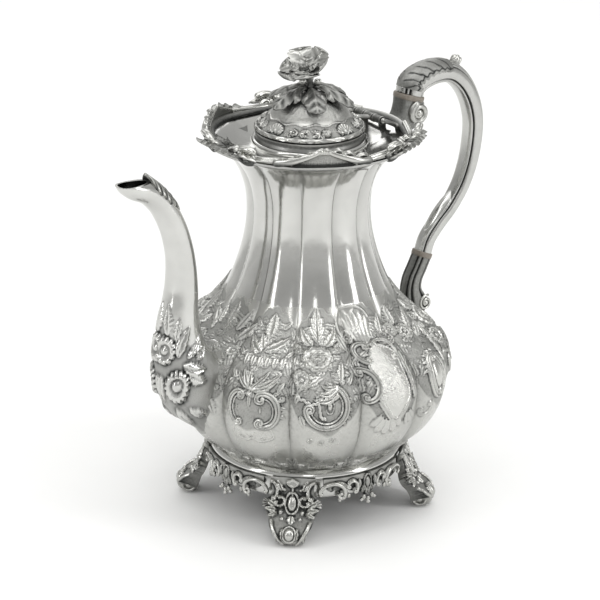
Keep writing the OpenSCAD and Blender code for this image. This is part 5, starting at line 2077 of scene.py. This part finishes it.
    def build(self, shop: Workshop) -> None:
        """Builds the handle's pieces."""
        shop.finish(self.grip(), "handle_bar", Body.POT, Slot.BURNISHED, "handle")
        for shape, name, node in (
            (self.cap(), "handle_cap", "handle_leaf"), (self.bud(), "handle_bud", "thumb_bud"),
            (self.upper_socket(), "handle_upper_socket", "socket_upper"),
            (self.lower_socket(), "handle_lower_socket", "socket_lower"),
        ):
            shop.finish(shape, name, Body.POT, Slot.CAST, node)
        for end, at, lean, radii in (("upper", (71.5, 230), 15.7, (8.6, 7.9)),
                                     ("lower", (84.5, 132), 22.3, (5.6, 5.7))):
            slice_of_ivory = self.insulator(at, lean, radii)
            shop.finish(slice_of_ivory, f"ivory_{end}", Body.POT, Slot.IVORY, f"insulator_{end}")


# ---------------------------------------------------------------- lid and blossom


@dataclass
class Lid:
    """Domed lid with a chased flange, turning on its hinge."""

    outline: tuple[Point, ...] = (
        (31.4, 225), (31.0, 226.3), (28.2, 228.4), (24.4, 231.2), (21.4, 234.2), (20.2, 236.6),
        (18.3, 239.2), (14.6, 241.9), (9, 244), (4, 244.8), (1.2, 245.0),
    )
    flange: tuple[Point, ...] = (
        (26.5, 216), (27.6, 216), (27.6, 220.5), (30.6, 220.5), (30.2, 221.6), (30.2, 222.6), (30.8, 223.6),
        (30.8, 223.8), (26.5, 223.8),
    )
    wall: float = 1.3

    def dome(self) -> Shape:
        """Domed sheet with shells, sprigs and rosettes round its flange."""
        line = spline(self.outline, 14)
        arc = lengths(line)
        s = np.linspace(0, arc[-1], 98)[:, None]
        angle = np.arange(600)[None] * 0.6
        r = np.interp(s, arc, line[:, 0]) + 0 * angle
        relief = Relief(0 * r, s + 0 * r)
        part = np.radians(angle)
        inner = 11.6 + 0.7 * np.cos(12 * part)
        relief.ground(smooth(s, 2.2, 2.8) * (1 - smooth(s, inner - 0.3, inner + 0.3)), 0.22)
        relief.prick(3, 0.04)
        relief.height += 0.4 * bell((s - inner) / 0.45) + 0.35 * bell((s - 2.2) / 0.35)
        relief.height += 0.25 * blur(np.random.default_rng(17).normal(0, 1.0, r.shape), 2) * smooth(s, 12, 15)
        for k in range(48):
            turn = (angle - 7.5 * k + 180) % 360 - 180
            relief.x = np.radians(turn) * 28.5 + 0 * r
            lean = 2.6 * sin(k * 2.4)
            relief.leaf((0, 4.5 + 2 * sin(k * 1.3)), (lean, 8.5 + 2 * sin(k * 1.3)), 1.3, 0.25, 3)
        for k in range(12):
            turn = (angle - 30 * k - 8 + 180) % 360 - 180
            relief.x = np.radians(turn) * np.interp(6.0, arc, line[:, 0]) + 0 * r
            if k % 3 == 0:
                relief.fan((0, 3.0), 90, 7.6, 62, 7, 1.1, 0.2)
                relief.scroll((0, 6.2), (4.6, 4.0), -30, 240, 0.5, 0.9, (0.8, 0.8), 0.0)
                relief.boss((0, 5.6), (0.9, 1.2), 1.1)
            elif k % 3 == 1:
                relief.daisy((-2.5, 6.4), 2.6, 8, 1.0)
                relief.leaves(
                    ((0.4, 6.2), (6.4, 8.8), 1.5, 0.9, 4), ((0.4, 5.6), (6.2, 4.0), 1.4, 0.8, 4),
                )
            else:
                relief.ruffle((2.0, 6.2), (2.8, 2.6), 8, 1.0)
                relief.leaves(
                    ((-1.2, 6.4), (-7.0, 8.6), 1.5, 0.9, 4), ((-1.2, 5.6), (-6.8, 4.2), 1.4, 0.8, 4),
                )
        height = relief.height * smooth(s, 0.4, 1.4)
        height += 0.25 * np.cos(24 * part) * smooth(s, 0, 0.6) * (1 - smooth(s, 1.5, 2.5)) - 0.25
        dark = np.clip(hollows(height, 2, 0.5) + 0.35 * smooth(s, 21, 27) * (1 - smooth(s, 33, 36)), 0, 1)
        run = np.gradient(line, arc, axis=0)
        nr, nz = np.interp(s, arc, run[:, 1]), -np.interp(s, arc, run[:, 0])
        z = np.interp(s, arc, line[:, 1])
        front = wound(r + nr * height, part, z + nz * height)
        under = np.maximum(z - nz * self.wall, self.flange[-1][1])
        back = wound(np.maximum(r[:, ::6] - nr * self.wall, 0.9), part[:, ::6], under)
        brushed = 0.75 * smooth(s, 12, 14) + relief.matt * (relief.height < 0.15)
        return Shape().skin(front, back, 6, wrap=True, patina_and_shade=dark, matt=np.minimum(brushed, 1))

    def build(self, shop: Workshop) -> None:
        """Builds the dome and the band under its edge."""
        shop.finish(self.dome(), "lid_sheet", Body.LID, Slot.CHASED, "lid_dome")
        dark = np.array([0.5, 0.5, 0.8, 0.3, 0.75, 0.75, 0.2, 0.4, 0.6])
        shop.finish(Shape().revolve(np.array(self.flange), 240, dark), "lid_band", Body.LID,
                    Slot.BURNISHED, "lid_flange")


@dataclass
class Hinge:
    """Five-knuckle hinge between the lid and the rim."""

    pin_at: Point = (37.0, 226.5)
    knuckle_length: float = 7.6
    radius: float = 2.4
    ends: tuple[Point, ...] = ((3.65, 0.75), (3.5, 0.98), (3.0, 1.04), (2.4, 0.92))

    def knuckle(self, shape: Shape, place_number: int) -> None:
        """Adds one turned knuckle; place 0 is the middle one."""
        a = np.arange(32) / 32 * TAU
        x, z = self.pin_at
        steps = [(-y, grow) for y, grow in self.ends] + [(y, grow) for y, grow in self.ends[::-1]]
        middle = place_number * self.knuckle_length
        rings = []
        for y, grow in steps:
            r = self.radius * grow
            rings.append(np.stack([x + r * np.cos(a), np.full(len(a), middle + y), z + r * np.sin(a)], -1))
        dark = np.array([1.0, 0.6, 0.1, 0.6, 0.6, 0.1, 0.6, 1.0])[:, None]
        shape.loft(np.array(rings), dark)

    def fixed(self) -> Shape:
        """Three knuckles on their straps, and the bar on the rim."""
        shape = Shape()
        x, z = self.pin_at
        for number in (-2, 0, 2):
            self.knuckle(shape, number)
            y = number * self.knuckle_length
            strap = spline([(x + 0.8, y, z - 1.2), (x + 8.5, y, z - 3.4), (x + 15.6, y, z - 8.4),
                            (x + 17.8, y, z - 7.8)], 6)
            shape.tube(strap, 3.3, 12, 0.3, (0.35, 0, 1), 0.45)
        bar = [(x + 11.4, -18, z - 5.2), (x + 11.4, 0, z - 5.2), (x + 11.4, 18, z - 5.2)]
        shape.tube(spline(bar, 4), 1.3, 12, patina_and_shade=0.45)
        return shape

    def moving(self) -> Shape:
        """Two knuckles on their straps to the lid's edge."""
        shape = Shape()
        x, z = self.pin_at
        for number in (-1, 1):
            self.knuckle(shape, number)
            y = number * self.knuckle_length
            strap = spline([(x - 0.8, y, z + 0.2), (x - 4.2, y, z + 0.5), (x - 8.4, y, z + 1.4)], 6)
            shape.tube(strap, 3.0, 12, 0.32, (0.2, 0, 1), 0.3)
        return shape

    def pin(self) -> Shape:
        """Pin with a button at each end."""
        shape = Shape()
        x, z = self.pin_at
        shape.tube(spline([(x, -18.9, z), (x, 0, z), (x, 18.9, z)], 4), 0.9, 12, patina_and_shade=0.6)
        for side in (-1, 1):
            shape.ball((x, side * 19.3, z), (1.7, 0.9, 1.7), patina_and_shade=0.2)
        return shape

    def build(self, shop: Workshop) -> None:
        """Builds the three pieces of the hinge."""
        shop.finish(self.fixed(), "hinge_fixed_knuckles", Body.POT, Slot.CAST, "hinge_bracket")
        shop.finish(self.moving(), "hinge_lid_knuckles", Body.LID, Slot.CAST, "lid_hinge_leaf")
        shop.finish(self.pin(), "hinge_pin_buttons", Body.POT, Slot.CAST, "hinge_pin")


@dataclass
class Finial:
    """Open blossom on a twig, with buds, over a collar of leaves."""

    leaf_count: int = 6
    leaf_length: float = 25.5
    stem_foot: Point = (0, 0, 248.4)
    bloom_at: Point = (-3.4, 1.2, 258.8)
    bloom_radius: float = 13.0

    def leaves(self) -> Shape:
        """Broad toothed leaves that hang over the dome."""
        shape = Shape()
        shape.ball((0, 0, 246.8), (4.4, 4.4, 1.7), patina_and_shade=0.8)
        for k in range(self.leaf_count):
            spin = radians(60 * k + 2)
            long = self.leaf_length * (1.0 if k % 2 else 0.94)
            out = np.array([cos(spin), sin(spin), 0])
            side = np.array([-sin(spin), cos(spin), 0])
            steps = ((1.5 / long, 247.2), (0.3, 247.6), (0.62, 244.8), (0.86, 241.6), (1.0, 239.4))
            spine = [out * long * far + (0, 0, high) for far, high in steps]
            blade(shape, spine, 6.0, tuple(-side), 1.1, 0.22, 4, 0.4, 0.12, 0.55, 1.7, 44, 24)
            for hand in (-1, 1):
                steps = ((0.32, 0, 247.3), (0.5, 3.6, 245.4), (0.64, 6.2, 242.6))
                wing = [out * long * far + side * hand * wide + (0, 0, high) for far, wide, high in steps]
                across = tuple(-unit(side - out * 0.6 * hand))
                blade(shape, wing, 3.0, across, 1.0, 0.3, 2, 0.4, 0.14, 0.6, 1.3, 24, 12)
        shape.gathered()
        shape.patina_and_shade = [np.clip(shape.patina_and_shade[0] + 0.22, 0, 1)]
        shape.matt = [np.full(shape.count, 0.5)]
        return shape

    def stem(self) -> Shape:
        """Crooked twig that carries the blossom."""
        a, b = np.array(self.stem_foot), np.array(self.bloom_at)
        path = spline([a - (0, 0, 2), a + (0.2, 0, 1), a * 0.55 + b * 0.45 + (0.9, 0.5, 0),
                       b + (0.2, 0, 0.6)], 8)
        knots = 1.9 + 0.3 * np.sin(np.linspace(0, 9, len(path)))
        return Shape().tube(path, knots, 14, up=(1, 0.2, 0), patina_and_shade=0.62)

    def buds(self) -> Shape:
        """Three small buds beside the stem."""
        shape = Shape()
        for k in range(3):
            a = radians(120 * k + 52)
            at = np.array([4.9 * cos(a), 4.9 * sin(a), 251.4])
            stalk = [(0.8 * cos(a), 0.8 * sin(a), 248.6), at * (0.6, 0.6, 1) - (0, 0, 1.6), at]
            shape.tube(spline(stalk, 6), 0.9, 8, patina_and_shade=0.7)
            shape.ball(at, (1.9, 1.9, 2.1), patina_and_shade=0.3)
            shape.berries(at + (0, 0, 0.8), 1.2, 5, (0.9, 0.9, 1.3))
        return shape

    def bloom(self) -> Shape:
        """Cup of crumpled petals, tilted towards the spout."""
        turn = Matrix.Rotation(radians(8), 3, "X") @ Matrix.Rotation(radians(-16), 3, "Y")
        basis = np.array(turn)
        shape = Shape()
        layers = ((6, 1.0, 4.6, 0.0, 7.4), (4, 0.52, 3.0, 36.0, 4.2))
        for count, reach, rise, first, wide in layers:
            for k in range(count):
                a = radians(first + 360 * k / count)
                out = np.array([cos(a), sin(a), 0])
                side = np.array([-sin(a), cos(a), 0])
                long = self.bloom_radius * reach * (1 + 0.08 * sin(k * 2.3))
                high = rise * (1 + 0.6 * cos(a - radians(10)) + 0.12 * sin(k * 1.7 + 1))
                steps = ((0.42, 0.12), (0.8, 0.55), (0.99, 1), (1.02, 1.12))
                spine = [out * long * far + (0, 0, high * up) for far, up in steps]
                spine.insert(0, out * 0.6 + (0, 0, 0.4))
                blade(shape, spine, wide, tuple(-side), 0.9, -0.12, 4, 0.6, 0.12, 0.35, 1.2, 44, 30)
        shape.berries((0, 0, 2.4), 1.6, 7, (0.9, 0.9, 1.5), 0.5, 7)
        shape.ball((0, 0, 0.6), (3.2, 3.2, 2.0), patina_and_shade=0.8)
        points = shape.gathered()
        down = 1 - smooth(points[:, 2], 0.5, 7)
        shape.patina_and_shade = [np.clip(shape.patina_and_shade[0] * 0.6 + 0.3 * down, 0, 1)]
        shape.points = [(points * (1, 1, 0.72)) @ basis.T + np.array(self.bloom_at)]
        return shape

    def build(self, shop: Workshop) -> None:
        """Builds the four pieces of the finial."""
        for shape, name, node in (
            (self.leaves(), "blossom_leaves", "finial_leaves"), (self.stem(), "blossom_stem", "finial_stem"),
            (self.buds(), "blossom_buds", "finial_buds"), (self.bloom(), "blossom", "finial_flower"),
        ):
            shop.finish(shape, name, Body.LID, Slot.CAST, node)


# ---------------------------------------------------------------- studio


@dataclass
class Studio:
    """Pale floor, soft boxes and the camera."""

    aim: Point = (0.0, 0.0, 0.1197)
    distance: float = 1.71
    azimuth: float = 232.0
    elevation: float = 20.62
    lens: float = 180.0
    roll: float = 0.67
    slide: Point = (-0.0043, 0.00177)

    def floor(self) -> None:
        """Pale floor."""
        mesh = bpy.data.meshes.new("floor")
        mesh.from_pydata([(-6, -6, 0), (6, -6, 0), (6, 6, 0), (-6, 6, 0)], [], [(0, 1, 2, 3)])
        made, w = blank_material("floor")
        grain = w.add("ShaderNodeTexNoise", Scale=30.0, Vector=w.spot())
        tint = w.blend(grain.outputs["Fac"], (0.93, 0.93, 0.925), (0.95, 0.95, 0.945))
        paper = w.add("ShaderNodeBsdfPrincipled", Roughness=0.9, Specular_IOR_Level=0.0, Base_Color=tint)
        w.add("ShaderNodeOutputMaterial", Surface=paper.outputs[0])
        mesh.materials.append(made)
        obj = bpy.data.objects.new("floor", mesh)
        bpy.context.scene.collection.objects.link(obj)

    def soft_box(self, name: str, azimuth: float, height: float, away: float, size: Point,
                 power: float) -> None:
        """Rectangular soft light that faces the pot.

        Args:
            name: its name.
            azimuth: row angle where it stands.
            height: its height in metres.
            away: its distance from the pot's axis in metres.
            size: width and height in metres.
            power: its power in watts.
        """
        lamp = bpy.data.lights.new(name, "AREA")
        lamp.shape = "RECTANGLE"
        lamp.size, lamp.size_y = size
        lamp.energy = power
        obj = bpy.data.objects.new(name, lamp)
        a = radians(azimuth)
        obj.location = (away * cos(a), away * sin(a), height)
        obj.rotation_euler = (Vector(self.aim) - obj.location).to_track_quat("-Z", "Y").to_euler()
        bpy.context.scene.collection.objects.link(obj)

    def world(self) -> None:
        """Even pale surroundings, darker low down."""
        world = bpy.data.worlds.new("studio")
        world.use_nodes = True
        world.node_tree.nodes.clear()
        w = Wiring(world.node_tree)
        parts = w.add("ShaderNodeSeparateXYZ")
        w.join(w.add("ShaderNodeTexCoord").outputs["Generated"], parts.inputs[0])
        ramp = w.add("ShaderNodeValToRGB", Fac=parts.outputs["Z"])
        stops = ((0.0, 0.72), (0.12, 0.6), (0.3, 0.47), (0.6, 0.58), (1.0, 0.76))
        marks = ramp.color_ramp.elements
        added = [marks.new(0.5) for _ in stops[2:]]
        for (at, shade), mark in zip(stops, [marks[0], marks[-1], *added]):
            mark.position = at
            mark.color = (shade, shade, shade * 0.985, 1)
        light = w.add("ShaderNodeBackground", Strength=1.0, Color=ramp.outputs[0])
        w.add("ShaderNodeOutputWorld", Surface=light.outputs[0])
        bpy.context.scene.world = world

    def camera(self) -> None:
        """Camera at the viewing angle."""
        lens = bpy.data.cameras.new("camera")
        lens.lens = self.lens
        lens.sensor_width = 36
        obj = bpy.data.objects.new("camera", lens)
        a, e = radians(self.azimuth), radians(self.elevation)
        back = Vector((cos(e) * cos(a), cos(e) * sin(a), sin(e)))
        right = Vector((-sin(a), cos(a), 0))
        up = back.cross(right)
        aim = Vector(self.aim) + right * self.slide[0] + up * self.slide[1]
        turn = Matrix((right, up, back)).transposed() @ Matrix.Rotation(radians(self.roll), 3, "Z")
        obj.matrix_world = Matrix.Translation(aim + back * self.distance) @ turn.to_4x4()
        bpy.context.scene.collection.objects.link(obj)
        bpy.context.scene.camera = obj

    def build(self) -> None:
        """Sets up the whole studio."""
        bpy.context.scene.view_settings.view_transform = "Standard"
        self.floor()
        self.world()
        self.soft_box("left box", 172, 0.9, 1.5, (0.22, 1.7), 6)
        self.soft_box("right box", 300, 0.9, 1.6, (0.4, 1.6), 8)
        self.soft_box("front box", 236, 1.5, 1.9, (0.3, 0.9), 2.6)
        self.soft_box("top box", 250, 2.2, 0.4, (1.9, 1.9), 18)
        self.soft_box("back box", 60, 1.3, 1.5, (1.4, 1.0), 6)
        self.camera()


def main() -> None:
    """Builds the whole pot, then the studio."""
    logging.basicConfig(level=logging.INFO, format="%(message)s")
    shop = Workshop()
    shop.dress_kept(
        {
            Slot.CAST: ("finial_stud", "finial_washer", "finial_nut"),
            Slot.BURNISHED: ("strainer",),
            Slot.IVORY: ("dowel_upper", "dowel_lower"),
        }
    )
    LobedBody().build(shop)
    Mouth().build(shop)
    Base().build(shop)
    Spout().build(shop)
    Handle().build(shop)
    Lid().build(shop)
    Hinge().build(shop)
    Finial().build(shop)
    Studio().build()


if __name__ == "__main__":
    main()
